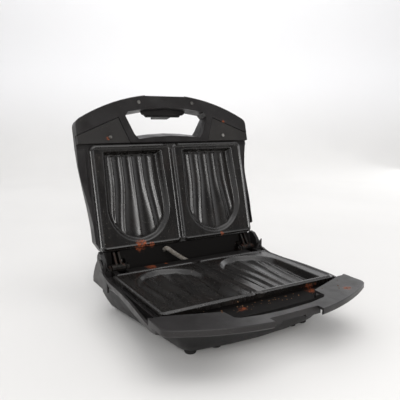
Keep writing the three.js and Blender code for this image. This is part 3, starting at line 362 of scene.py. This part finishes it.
# %% Plastic finishes
def within(shader, x_half, low, high, soft=0.004):
    """1 inside a box given by its half width and two opposite corners, with soft sides."""
    parts = shader.node("ShaderNodeSeparateXYZ", {0: shader.place}).outputs
    from_middle = shader.math("ABSOLUTE", parts["X"])
    inside = shader.window(from_middle, x_half * MM - soft, x_half * MM, 1.0, 0.0)
    for axis, start, end in (("Y", low.y, high.y), ("Z", low.z, high.z)):
        after = shader.window(parts[axis], start, start + soft)
        before = shader.window(parts[axis], end - soft, end, 1.0, 0.0)
        inside = shader.math("MULTIPLY", inside, shader.math("MULTIPLY", after, before))
    return inside


# Painted shade: the hinge trough and the crumb shelf lie in shade, so the casing there is painted near black and
# shines less.
def painted_shade_places(shader):
    """1 in the trough at the hinge and on the crumb shelf, where the casing is painted near black as shade."""
    trough = within(shader, 110, at(0, 132, -30), at(0, 180, 24))
    shelf = within(shader, 121, at(0, -34, -15), at(0, 3, -5.5), 0.002)
    return shader.math("MAXIMUM", trough, shelf)


# Painted shade: the near-black colour used at the hinge trough and the crumb shelf.
PAINTED_SHADE = rgb(10, 8, 7)
PALE_SPECK = rgb(96, 92, 88)
PLASTIC_SPECULAR = 0.34
# Painted shade: the weaker shine used where the shade is painted.
PAINTED_SHADE_SPECULAR = 0.12


def plastic(name, base, haze, roughness, grain, rust=0.0, with_painted_shade=False):
    shader = Shader(name, specular=PLASTIC_SPECULAR)
    drift = shader.window(shader.noise(0.045, 4.0), 0.35, 0.7)
    colour = shader.blend(drift, base, haze)
    specks = shader.window(shader.noise(0.0016, 2.0), 0.66, 0.74, 0.0, 0.35)
    colour = shader.blend(specks, colour, PALE_SPECK)
    dull = shader.window(shader.noise(0.02, 5.0), 0.3, 0.75, roughness - 0.08, roughness + 0.1)
    if rust:
        colour, mask = add_rust(shader, colour, rust)
        dull = shader.math("MAXIMUM", dull, shader.math("MULTIPLY", mask, 0.9))
    # Painted shade: near black and less shiny at the hinge trough and the crumb shelf, except where rust lies.
    if with_painted_shade:
        painted_shade_mask = painted_shade_places(shader)
        shade_clear_of_rust = shader.math("SUBTRACT", painted_shade_mask, mask, clamp=True)
        colour = shader.blend(shade_clear_of_rust, colour, PAINTED_SHADE)
        dull = shader.math("MAXIMUM", dull, shader.math("MULTIPLY", painted_shade_mask, 0.75))
        shine = shader.window(painted_shade_mask, 0.0, 1.0, PLASTIC_SPECULAR, PAINTED_SHADE_SPECULAR)
        shader.put(shader.surface.inputs["Specular IOR Level"], shine)
    shader.colour(colour)
    shader.put(shader.surface.inputs["Roughness"], dull)
    coarse = shader.bump(shader.noise(0.03, 2.0), 0.0004, 0.35)
    shader.bump(shader.noise(grain, 2.0), 0.00006, 0.5, coarse)
    return shader.material


# The casing carries the painted shade at the hinge trough and the crumb shelf.
casing = plastic("casing", rgb(27, 25, 25), rgb(34, 32, 32), 0.38, 0.0006, 0.8, with_painted_shade=True)
corner_panel = plastic("corner_panel", rgb(27, 25, 24), rgb(35, 33, 31), 0.52, 0.0006, 0.9)
tub_plastic = plastic("tub_plastic", rgb(18, 17, 17), rgb(24, 23, 23), 0.46, 0.0007)
black_plastic = plastic("black_plastic", rgb(15, 14, 14), rgb(23, 22, 21), 0.42, 0.0006, 0.5)
plastics = (casing, corner_panel, tub_plastic, black_plastic)
print("plastic finishes:", [finish.name for finish in plastics])

# %% [markdown]
# ### Non-stick coating
#
# The plates are cast aluminium under a thin black coating with a satin gloss. Baked fat makes it
# brown in patches and a little rougher; wiping leaves smears that run along the flutes. The bump
# is the faint pebble of the casting.


# %% Non-stick finish
def coating(name):
    shader = Shader(name, specular=0.55)
    along_flutes = {"Vector": shader.place, "Scale": (1.0, 0.35, 0.35)}
    stretched = shader.node("ShaderNodeMapping", along_flutes)
    smears = shader.noise(0.012, 5.0, 0.6, stretched.outputs["Vector"])
    smeared = shader.window(smears, 0.35, 0.7)
    colour = shader.blend(smeared, rgb(14, 12, 11), rgb(22, 20, 18))
    brown = shader.window(shader.noise(0.03, 4.0), 0.5, 0.75, 0.0, 0.3)
    colour = shader.blend(brown, colour, rgb(36, 25, 19))
    dust = shader.window(shader.noise(0.0015, 1.0), 0.73, 0.78, 0.0, 0.6)
    colour = shader.blend(dust, colour, rgb(128, 122, 114))
    colour, mask = add_rust(shader, colour)
    shader.colour(colour)
    gloss = shader.window(smears, 0.3, 0.75, 0.22, 0.33)
    dull = shader.math("MAXIMUM", gloss, shader.math("MULTIPLY", mask, 0.9))
    shader.put(shader.surface.inputs["Roughness"], dull)
    shader.bump(shader.noise(0.004, 2.0), 0.00004, 0.3)
    return shader.material


non_stick = coating("non_stick")
print("coating:", non_stick.name)


# %% [markdown]
# ### Metals, rubber and the rest
#
# The hinge parts are pressed steel that has browned with heat. Screws and straps are plated and
# only a little dull. The remaining finishes are small: rubber feet, cream ceramic and the bright
# reflector sheet.


# %% Other finishes
def metal(name, dark, light, roughness, size=0.01, rust=0.0):
    shader = Shader(name, metallic=0.9)
    cloud = shader.noise(size, 5.0, 0.65)
    colour = shader.blend(shader.window(cloud, 0.3, 0.7), dark, light)
    if rust:
        spread = shader.window(shader.noise(0.006, 6.0, 0.7), 0.5, 0.66, 0.0, rust)
        colour = shader.blend(spread, colour, rgb(120, 66, 38))
    shader.colour(colour)
    worn = shader.window(cloud, 0.3, 0.75, roughness - 0.06, roughness + 0.16)
    shader.put(shader.surface.inputs["Roughness"], worn)
    shader.bump(shader.noise(0.0012, 3.0), 0.00004, 0.4)
    return shader.material


def matt(name, dark, light, roughness, size, depth=0.00005):
    shader = Shader(name, roughness=roughness, specular=0.35)
    cloud = shader.noise(size, 5.0)
    shader.colour(shader.blend(shader.window(cloud, 0.3, 0.7), dark, light))
    shader.bump(shader.noise(size * 0.2, 3.0), depth, 0.5)
    return shader.material


hinge_steel = metal("hinge_steel", rgb(22, 21, 20), rgb(44, 42, 40), 0.4, rust=0.2)
plated_steel = metal("plated_steel", rgb(120, 118, 114), rgb(176, 174, 170), 0.3, rust=0.15)
element_steel = metal("element_steel", rgb(70, 62, 58), rgb(112, 100, 92), 0.45)
bright_sheet = metal("bright_sheet", rgb(168, 168, 170), rgb(206, 208, 210), 0.24, 0.03)
rubber = matt("rubber", rgb(18, 18, 18), rgb(32, 31, 30), 0.8, 0.008)
ceramic = matt("ceramic", rgb(196, 188, 170), rgb(222, 216, 202), 0.6, 0.012)


def backdrop_paint():
    """Pale paint, a little whiter where the sheet curves up."""
    shader = Shader("backdrop_paint", roughness=0.85, specular=0.25)
    height = shader.node("ShaderNodeSeparateXYZ", {0: shader.place}).outputs["Z"]
    cloud = shader.window(shader.noise(0.6, 3.0), 0.3, 0.7)
    low = shader.blend(cloud, rgb(219, 218, 216), rgb(223, 222, 220))
    shader.colour(shader.blend(shader.window(height, 0.02, 0.5), low, rgb(248, 248, 249)))
    return shader.material


floor.data.materials.append(backdrop_paint())
print("finishes made:", len(bpy.data.materials))

# %% [markdown]
# ## The cooking plates
#
# Each plate is one casting: a flat field, a low ridge round each bay that seals the bread's edge,
# and two wells whose floors carry six flutes. The flutes run straight from the front and then fan
# out with the round end. Such a shape is a height over the plane, so it is made as a fine grid
# whose heights come from one function, and closed underneath with the same grid let down by the
# wall's thickness.

# %% Sizes of the casting, in millimetres
BAY = PLATE_HALF / MM
DEPTH = (plate_high.y - plate_low.y) / MM
SKIRT = 7.0
WALL = 2.6
FIELD = -1.6
CORNER = 6.0
WELL = {"front": 7.5, "half": 41.0, "bulge": 2.5, "round_from": 80.0, "round": 46.0}
DEPTHS = (8.5, 5.5)
CREST = 2.3
# Where the first, second and third crest stand at the front, and how far the fan spreads each.
CREST_PLACES = ((13.7, 6.8), (27.4, 5.6), (41.5, 2.0))
FAN_FROM = 42
FAN_OVER = 70
FRONT_SLOPE = 1.5
ROUND_REACH = 44
WELL_WALL = 6.5
CREST_SOFTNESS = 0.012
CREST_FROM_EDGE = 3.5
CREST_FADE = 7
RIDGE_HEIGHT = 1.2
RIDGE_INSET = 3.2
RIDGE_WIDTH = 0.9
EDGE_CORNER = 7.0
EDGE_WIDTH = 1.2
SEAM_HALF = 12
SEAM_DROP = 0.9
EDGE_DROP = 0.5
PITCH = 1.0
print("casting:", round(2 * BAY, 1), "x", round(DEPTH, 1), "mm, wells", DEPTHS, "mm deep")


def smooth(t):
    t = np.clip(t, 0.0, 1.0)
    return t * t * (3 - 2 * t)


def crest_number(across, y):
    """How many crests a point lies from the middle of its well: crests stand at whole numbers."""
    fan = smooth((y - FAN_FROM) / FAN_OVER)
    first, second, third = (start + spread * fan for start, spread in CREST_PLACES)
    a = np.abs(across)
    inner = a / first
    middle = 1 + (a - first) / (second - first)
    outer = 2 + (a - second) / (third - second)
    return np.where(a < first, inner, np.where(a < second, middle, outer))


def well_depth(x, y):
    across = np.abs(x) - BAY / 2
    half = WELL["half"] + WELL["bulge"] * smooth((y - WELL["front"]) / WELL["round_from"])
    straight = np.minimum(half - np.abs(across), (y - WELL["front"]) * FRONT_SLOPE)
    reach = np.hypot(across / half, np.maximum(y - WELL["round_from"], 0) / WELL["round"])
    edge = np.where(y > WELL["round_from"], (1 - reach) * ROUND_REACH, straight)
    wall = smooth(edge / WELL_WALL)
    length = WELL["round_from"] + WELL["round"] - WELL["front"]
    along = smooth((y - WELL["front"]) / length)
    floor_depth = DEPTHS[0] + (DEPTHS[1] - DEPTHS[0]) * along
    crests = np.sqrt(np.sin(np.pi * crest_number(across, y)) ** 2 + CREST_SOFTNESS)
    fade = smooth((edge - CREST_FROM_EDGE) / CREST_FADE)
    rise = CREST * (1 - np.minimum(crests, 1.0)) * fade
    return wall * floor_depth - rise


def plate_height(x, y):
    """Height of the lower casting over the meeting plane."""
    to_side = np.minimum(np.abs(x), BAY - np.abs(x))
    to_end = np.minimum(y, DEPTH - y)
    near_side = np.maximum(EDGE_CORNER - to_side, 0)
    near_end = np.maximum(EDGE_CORNER - to_end, 0)
    corner = np.hypot(near_side, near_end)
    in_corner = (to_side < EDGE_CORNER) & (to_end < EDGE_CORNER)
    inside = np.where(in_corner, EDGE_CORNER - corner, np.minimum(to_side, to_end))
    ridge = np.exp(-(((inside - RIDGE_INSET) / RIDGE_WIDTH) ** 2))
    drop = np.where(np.abs(x) < SEAM_HALF, SEAM_DROP, EDGE_DROP)
    edge = drop * np.exp(-((inside / EDGE_WIDTH) ** 2))
    return FIELD + RIDGE_HEIGHT * ridge - edge - np.maximum(well_depth(x, y), -0.2)


# %% The grid, with rounded corners
def into_corners(x, y):
    """Bends a rectangular grid so that its four corners are round."""
    over_x = np.maximum(np.abs(x) - (BAY - CORNER), 0) / CORNER
    over_y = np.maximum(np.abs(y - DEPTH / 2) - (DEPTH / 2 - CORNER), 0) / CORNER
    new_x = np.where(over_y > 0, over_x * np.sqrt(1 - over_y**2 / 2), over_x)
    new_y = np.where(over_x > 0, over_y * np.sqrt(1 - over_x**2 / 2), over_y)
    x = np.where(over_x > 0, np.sign(x) * (BAY - CORNER + new_x * CORNER), x)
    side = np.sign(y - DEPTH / 2)
    y = np.where(over_y > 0, DEPTH / 2 + side * (DEPTH / 2 - CORNER + new_y * CORNER), y)
    return x, y


def casting(pitch):
    columns = int(2 * BAY / pitch) + 1
    rows = int(DEPTH / pitch) + 1
    x, y = np.meshgrid(np.linspace(-BAY, BAY, columns), np.linspace(0, DEPTH, rows))
    x, y = into_corners(x, y)
    top = plate_height(x, y)
    to_edge = np.minimum(BAY - np.abs(x), np.minimum(y, DEPTH - y))
    under = np.where(to_edge < WALL, -SKIRT, top - WALL)
    layers = [np.stack([x, y, z], -1).reshape(-1, 3) for z in (top, under)]
    count = rows * columns
    faces = []
    for j in range(rows - 1):
        for i in range(columns - 1):
            a = j * columns + i
            faces.append((a, a + 1, a + columns + 1, a + columns))
            faces.append((count + a, count + a + columns, count + a + columns + 1, count + a + 1))
    rim = list(range(columns))
    rim += [j * columns + columns - 1 for j in range(1, rows)]
    rim += [(rows - 1) * columns + i for i in range(columns - 2, -1, -1)]
    rim += [j * columns for j in range(rows - 2, 0, -1)]
    for k, a in enumerate(rim):
        b = rim[(k + 1) % len(rim)]
        faces.append((a, count + a, count + b, b))
    return np.concatenate(layers), faces


def make_plate(name, upper):
    points, faces = casting(PITCH)
    if upper:
        points = points * np.array([-1, 1, -1])
    place = OPENING if upper else Matrix.Identity(4)
    made = new_object(name, [place @ at(*p) for p in points], faces, non_stick)
    for polygon in made.data.polygons:
        polygon.use_smooth = True
    made.data.set_sharp_from_angle(angle=math.radians(50))
    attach(made, "lid" if upper else "base")
    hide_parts("upper_cooking_plate" if upper else "lower_cooking_plate")
    print(name, len(made.data.polygons), "faces")


make_plate("lower_plate_casting", upper=False)
make_plate("upper_plate_casting", upper=True)

# %% [markdown]
# ## Mouldings with rounded edges
#
# No moulding leaves its tool with a knife edge: the edges are rounded by half a millimetre or so,
# and that thin line catches the light. So each visible moulding is copied from its node, its
# loose triangles are merged, and its real edges are bevelled. The copy then stands for the node.


# %% Rounding a moulding
MERGE_DISTANCE = 0.002 * MM
FLAT_ANGLE = math.radians(0.5)
BEVEL_ANGLE = math.radians(28)
SHARP_ANGLE = math.radians(38)


def as_plain_mesh(piece):
    """The piece's mesh with its modifiers applied."""
    return bpy.data.meshes.new_from_object(
        piece.evaluated_get(bpy.context.evaluated_depsgraph_get())
    )


def rounded_copy(node, name, body, material, width):
    mesh = nodes[node].data.copy()
    mesh.name = name
    for polygon in mesh.polygons:
        polygon.use_smooth = True
    shell = bmesh.new()
    shell.from_mesh(mesh)
    bmesh.ops.remove_doubles(shell, verts=shell.verts, dist=MERGE_DISTANCE)
    if not node.startswith("lid_"):
        bmesh.ops.dissolve_limit(
            shell, angle_limit=FLAT_ANGLE, verts=shell.verts, edges=shell.edges
        )
    shell.to_mesh(mesh)
    shell.free()
    made = bpy.data.objects.new(name, mesh)
    bpy.context.collection.objects.link(made)
    bevel = made.modifiers.new("rounding", "BEVEL")
    bevel.width = width * MM
    bevel.segments = 2
    bevel.limit_method = "ANGLE"
    bevel.angle_limit = BEVEL_ANGLE
    bevel.use_clamp_overlap = True
    bevel.miter_outer = "MITER_ARC"
    made.modifiers.new("flat_faces", "WEIGHTED_NORMAL")
    made.data = as_plain_mesh(made)
    made.modifiers.clear()
    made.data.materials.clear()
    made.data.materials.append(material)
    for polygon in made.data.polygons:
        polygon.use_smooth = True
        polygon.material_index = 0
    made.data.set_sharp_from_angle(angle=SHARP_ANGLE)
    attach(made, body)
    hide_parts(node)
    return made


# Node, name of the copy, body, finish with its slot, rounding in millimetres.
MOULDINGS = [
    ("base_surround", "surround_moulding", "base", casing, "casing", 0.5),
    ("base_tub", "tub_moulding", "base", tub_plastic, "tub", 1.2),
    ("lid_shell", "lid_moulding", "lid", casing, "casing", 0.5),
    ("lid_handle_plate", "handle_plate_moulding", "lid", casing, "casing", 0.4),
]
for side in ("left", "right"):
    panel = "corner_panel_" + side
    copy_name = panel + "_moulding"
    MOULDINGS.append(("lid_" + panel, copy_name, "lid", corner_panel, "corner_panel", 0.35))
for side in ("left", "right"):
    cover = "hinge_cover_" + side
    MOULDINGS.append((cover, cover + "_moulding", "base", black_plastic, "black_plastic", 0.8))
MOULDINGS.append(("latch_clip", "latch_moulding", "latch", black_plastic, "black_plastic", 0.3))

for node, name, body, material, slot, width in MOULDINGS:
    moulding = rounded_copy(node, name, body, material, width)
    print(name, len(moulding.data.polygons), "faces")

# %% [markdown]
# ## The lead between base and lid
#
# The heater in the lid is fed by two wires inside one woven glass sleeve. The sleeve leaves a
# hole in the lid's floor, hangs over the hinge in a loose bow and goes down through a hole in the
# base's floor. Its upper end must travel with the lid and its lower end must stay; here the tube
# is drawn once, in the open pose, and is not tied to either body.

# %% The sleeve
LEAD_RADIUS = 2.8
LEAD_PATH = [
    OPENING @ at(-27, 141.5, 15),
    OPENING @ at(-27, 140.5, 9),
    OPENING @ at(-27, 138.5, 3),
    OPENING @ at(-25.5, 138.5, -1.5),
    at(-18, 155, 7),
    at(-8, 153, -0.5),
    at(3, 151.5, -8),
    at(10, 151, -17),
    at(10, 151, -31.5),
]


def spline(points, steps):
    """A Catmull-Rom curve through the points."""
    ends = [points[0] * 2 - points[1]] + points + [points[-1] * 2 - points[-2]]
    out = []
    for i in range(1, len(ends) - 2):
        p0, p1, p2, p3 = ends[i - 1 : i + 3]
        for k in range(steps):
            t = k / steps
            bend = (2 * p0 - 5 * p1 + 4 * p2 - p3) * t * t + (3 * p1 - p0 - 3 * p2 + p3) * t**3
            out.append(0.5 * (2 * p1 + (p2 - p0) * t + bend))
    out.append(points[-1])
    return out


def sleeve_material():
    """Pale woven glass: a diamond lattice made of two sets of slanted waves along the tube."""
    shader = Shader("glass_sleeve", roughness=0.75, specular=0.3)
    coordinates = shader.node("ShaderNodeUVMap", uv_map="tube")
    parts = shader.node("ShaderNodeSeparateXYZ", {0: coordinates.outputs["UV"]})
    turns = shader.math("MULTIPLY", parts.outputs["X"], 16 * math.pi)
    steps_along = shader.math("MULTIPLY", parts.outputs["Y"], 2 * math.pi / 1.6)
    left_hand = shader.math("SINE", shader.math("ADD", turns, steps_along))
    right_hand = shader.math("SINE", shader.math("SUBTRACT", turns, steps_along))
    weave = shader.math("MULTIPLY", left_hand, right_hand)
    dirty = shader.window(shader.noise(0.006, 4.0), 0.35, 0.7)
    colour = shader.blend(shader.window(weave, -0.9, 0.6), rgb(84, 80, 76), rgb(150, 146, 140))
    shader.colour(shader.blend(dirty, colour, rgb(104, 97, 88)))
    shader.bump(weave, 0.0003, 0.8)
    return shader.material


def tube(name, path, radius, sides, material):
    """A closed tube with a UV map: once round in U, millimetres along in V."""
    points = []
    side = Vector((0, 0, 1)).cross(path[1] - path[0]).normalized()
    for i, centre in enumerate(path):
        ahead = (path[min(i + 1, len(path) - 1)] - path[max(i - 1, 0)]).normalized()
        side = (side - side.dot(ahead) * ahead).normalized()
        other = ahead.cross(side)
        for k in range(sides):
            a = 2 * math.pi * k / sides
            points.append(centre + (side * math.cos(a) + other * math.sin(a)) * radius * MM)
    faces = []
    for i in range(len(path) - 1):
        for k in range(sides):
            a, b = i * sides + k, i * sides + (k + 1) % sides
            faces.append((a, b, b + sides, a + sides))
    last = (len(path) - 1) * sides
    faces.append(tuple(range(sides - 1, -1, -1)))
    faces.append(tuple(range(last, last + sides)))
    made = new_object(name, points, faces, material)
    layer = made.data.uv_layers.new(name="tube")
    along = [0.0]
    for a, b in zip(path, path[1:]):
        along.append(along[-1] + (b - a).length / MM)
    for polygon in made.data.polygons:
        polygon.use_smooth = len(polygon.vertices) == 4
        wraps = len(polygon.vertices) == 4 and polygon.index % sides == sides - 1
        for loop in polygon.loop_indices:
            ring, k = divmod(made.data.loops[loop].vertex_index, sides)
            layer.data[loop].uv = ((k or (sides if wraps else 0)) / sides, along[ring])
    return made


sleeve = tube("lead_sleeve_tube", spline(LEAD_PATH, 12), LEAD_RADIUS, 20, sleeve_material())
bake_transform(sleeve)
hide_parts("link_lead")
print("sleeve:", len(sleeve.data.polygons), "faces")

# %% [markdown]
# ## Crumbs
#
# Toast sheds crumbs. They gather on the shelf in front of the plates, and a few lie on the deck
# at each side. One Geometry Nodes tree scatters a small jagged crumb over the points it is given,
# turns each one at random and gives each its own size from a fixed seed.

# %% The crumb scatter
CRUMB_SIZE = 0.75 * MM
FULL_TURN = 6.28
# Range in X, range in Y, height, number of crumbs, seed.
CRUMB_SPOTS = {
    "shelf": ((-50, 92), (-14, -1), -9.9, 36, 2),
    "deck_left": ((-108, -30), (-34, -8), -0.95, 9, 4),
    "deck_right": ((66, 112), (-34, -8), -0.95, 5, 5),
}


def crumb_tree(material):
    tree = bpy.data.node_groups.new("crumb_scatter", "GeometryNodeTree")
    face = tree.interface
    face.new_socket("Geometry", in_out="INPUT", socket_type="NodeSocketGeometry")
    for label, kind, value in (("Seed", "NodeSocketInt", 1), ("Size", "NodeSocketFloat", 0.001)):
        face.new_socket(label, in_out="INPUT", socket_type=kind).default_value = value
    face.new_socket("Geometry", in_out="OUTPUT", socket_type="NodeSocketGeometry")

    def add(kind, inputs=(), **settings):
        made = tree.nodes.new(kind)
        for key, value in settings.items():
            setattr(made, key, value)
        for key, value in dict(inputs).items():
            if isinstance(value, bpy.types.NodeSocket):
                tree.links.new(value, made.inputs[key])
            else:
                made.inputs[key].default_value = value
        return made

    given = add("NodeGroupInput")
    seed = given.outputs["Seed"]
    ball = add("GeometryNodeMeshIcoSphere", {"Radius": 1.0, "Subdivisions": 2})
    ragged = add("ShaderNodeTexNoise", {"Scale": 1.7, "Detail": 1.0})
    from_middle = {0: ragged.outputs["Color"], 1: (0.5, 0.5, 0.5)}
    centred = add("ShaderNodeVectorMath", from_middle, operation="SUBTRACT")
    pushed = add("ShaderNodeVectorMath", {0: centred.outputs[0]}, operation="SCALE")
    pushed.inputs["Scale"].default_value = 1.1
    ball_and_push = {"Geometry": ball.outputs["Mesh"], "Offset": pushed.outputs[0]}
    crumb = add("GeometryNodeSetPosition", ball_and_push)
    any_turn = {"Seed": seed, "Max": (FULL_TURN, FULL_TURN, FULL_TURN)}
    turn = add("FunctionNodeRandomValue", any_turn, data_type="FLOAT_VECTOR")
    size = add("FunctionNodeRandomValue", {"Seed": seed, 2: 0.35, 3: 1.0}, data_type="FLOAT")
    size_inputs = {0: size.outputs[1], 1: given.outputs["Size"]}
    scaled = add("ShaderNodeMath", size_inputs, operation="MULTIPLY")
    placed = add(
        "GeometryNodeInstanceOnPoints",
        {
            "Points": given.outputs["Geometry"],
            "Instance": crumb.outputs["Geometry"],
            "Rotation": turn.outputs[0],
            "Scale": scaled.outputs[0],
        },
    )
    solid = add("GeometryNodeRealizeInstances", {"Geometry": placed.outputs["Instances"]})
    dressed = {"Geometry": solid.outputs["Geometry"], "Material": material}
    painted = add("GeometryNodeSetMaterial", dressed)
    out = add("NodeGroupOutput")
    tree.links.new(painted.outputs["Geometry"], out.inputs["Geometry"])
    return tree


crumb_brown = matt("crumb_brown", rgb(62, 42, 28), rgb(116, 86, 58), 0.8, 0.0012, 0.0001)
scatter = crumb_tree(crumb_brown)


def scatter_crumbs(name, xs, ys, z, count, seed):
    rng = np.random.default_rng(seed)
    spots = [at(rng.uniform(*xs), rng.uniform(*ys), z) for _ in range(count)]
    points = new_object(name, spots, [])
    modifier = points.modifiers.new("crumbs", "NODES")
    modifier.node_group = scatter
    inputs = [item for item in scatter.interface.items_tree if item.in_out == "INPUT"]
    sockets = {item.name: item.identifier for item in inputs}
    modifier[sockets["Seed"]] = seed
    modifier[sockets["Size"]] = CRUMB_SIZE
    points.data = as_plain_mesh(points)
    points.modifiers.clear()
    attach(points, "base")
    return points


for label, (xs, ys, z, count, seed) in CRUMB_SPOTS.items():
    crumbs = scatter_crumbs("crumbs_" + label, xs, ys, z, count, seed)
    print(crumbs.name, len(crumbs.data.polygons), "faces")

# %% [markdown]
# ## The remaining nodes
#
# The other nodes keep their own meshes and only take a finish: hinge steel, screws, the heating
# elements and their trays, and the feet.

# %% Finishes for the kept nodes
FINISH_OF = {
    "rubber": rubber,
    "hinge_steel": hinge_steel,
    "small_steel": plated_steel,
    "element": element_steel,
    "bright_sheet": bright_sheet,
    "ceramic": ceramic,
    "lead_sleeve": ceramic,
    "non_stick": non_stick,
    "casing": casing,
    "tub": tub_plastic,
    "corner_panel": corner_panel,
    "black_plastic": black_plastic,
}
for entry in frame["record"]["subparts"]:
    kept = nodes[entry["node"]]
    kept.data.materials.clear()
    kept.data.materials.append(FINISH_OF[entry["material_slot"]])
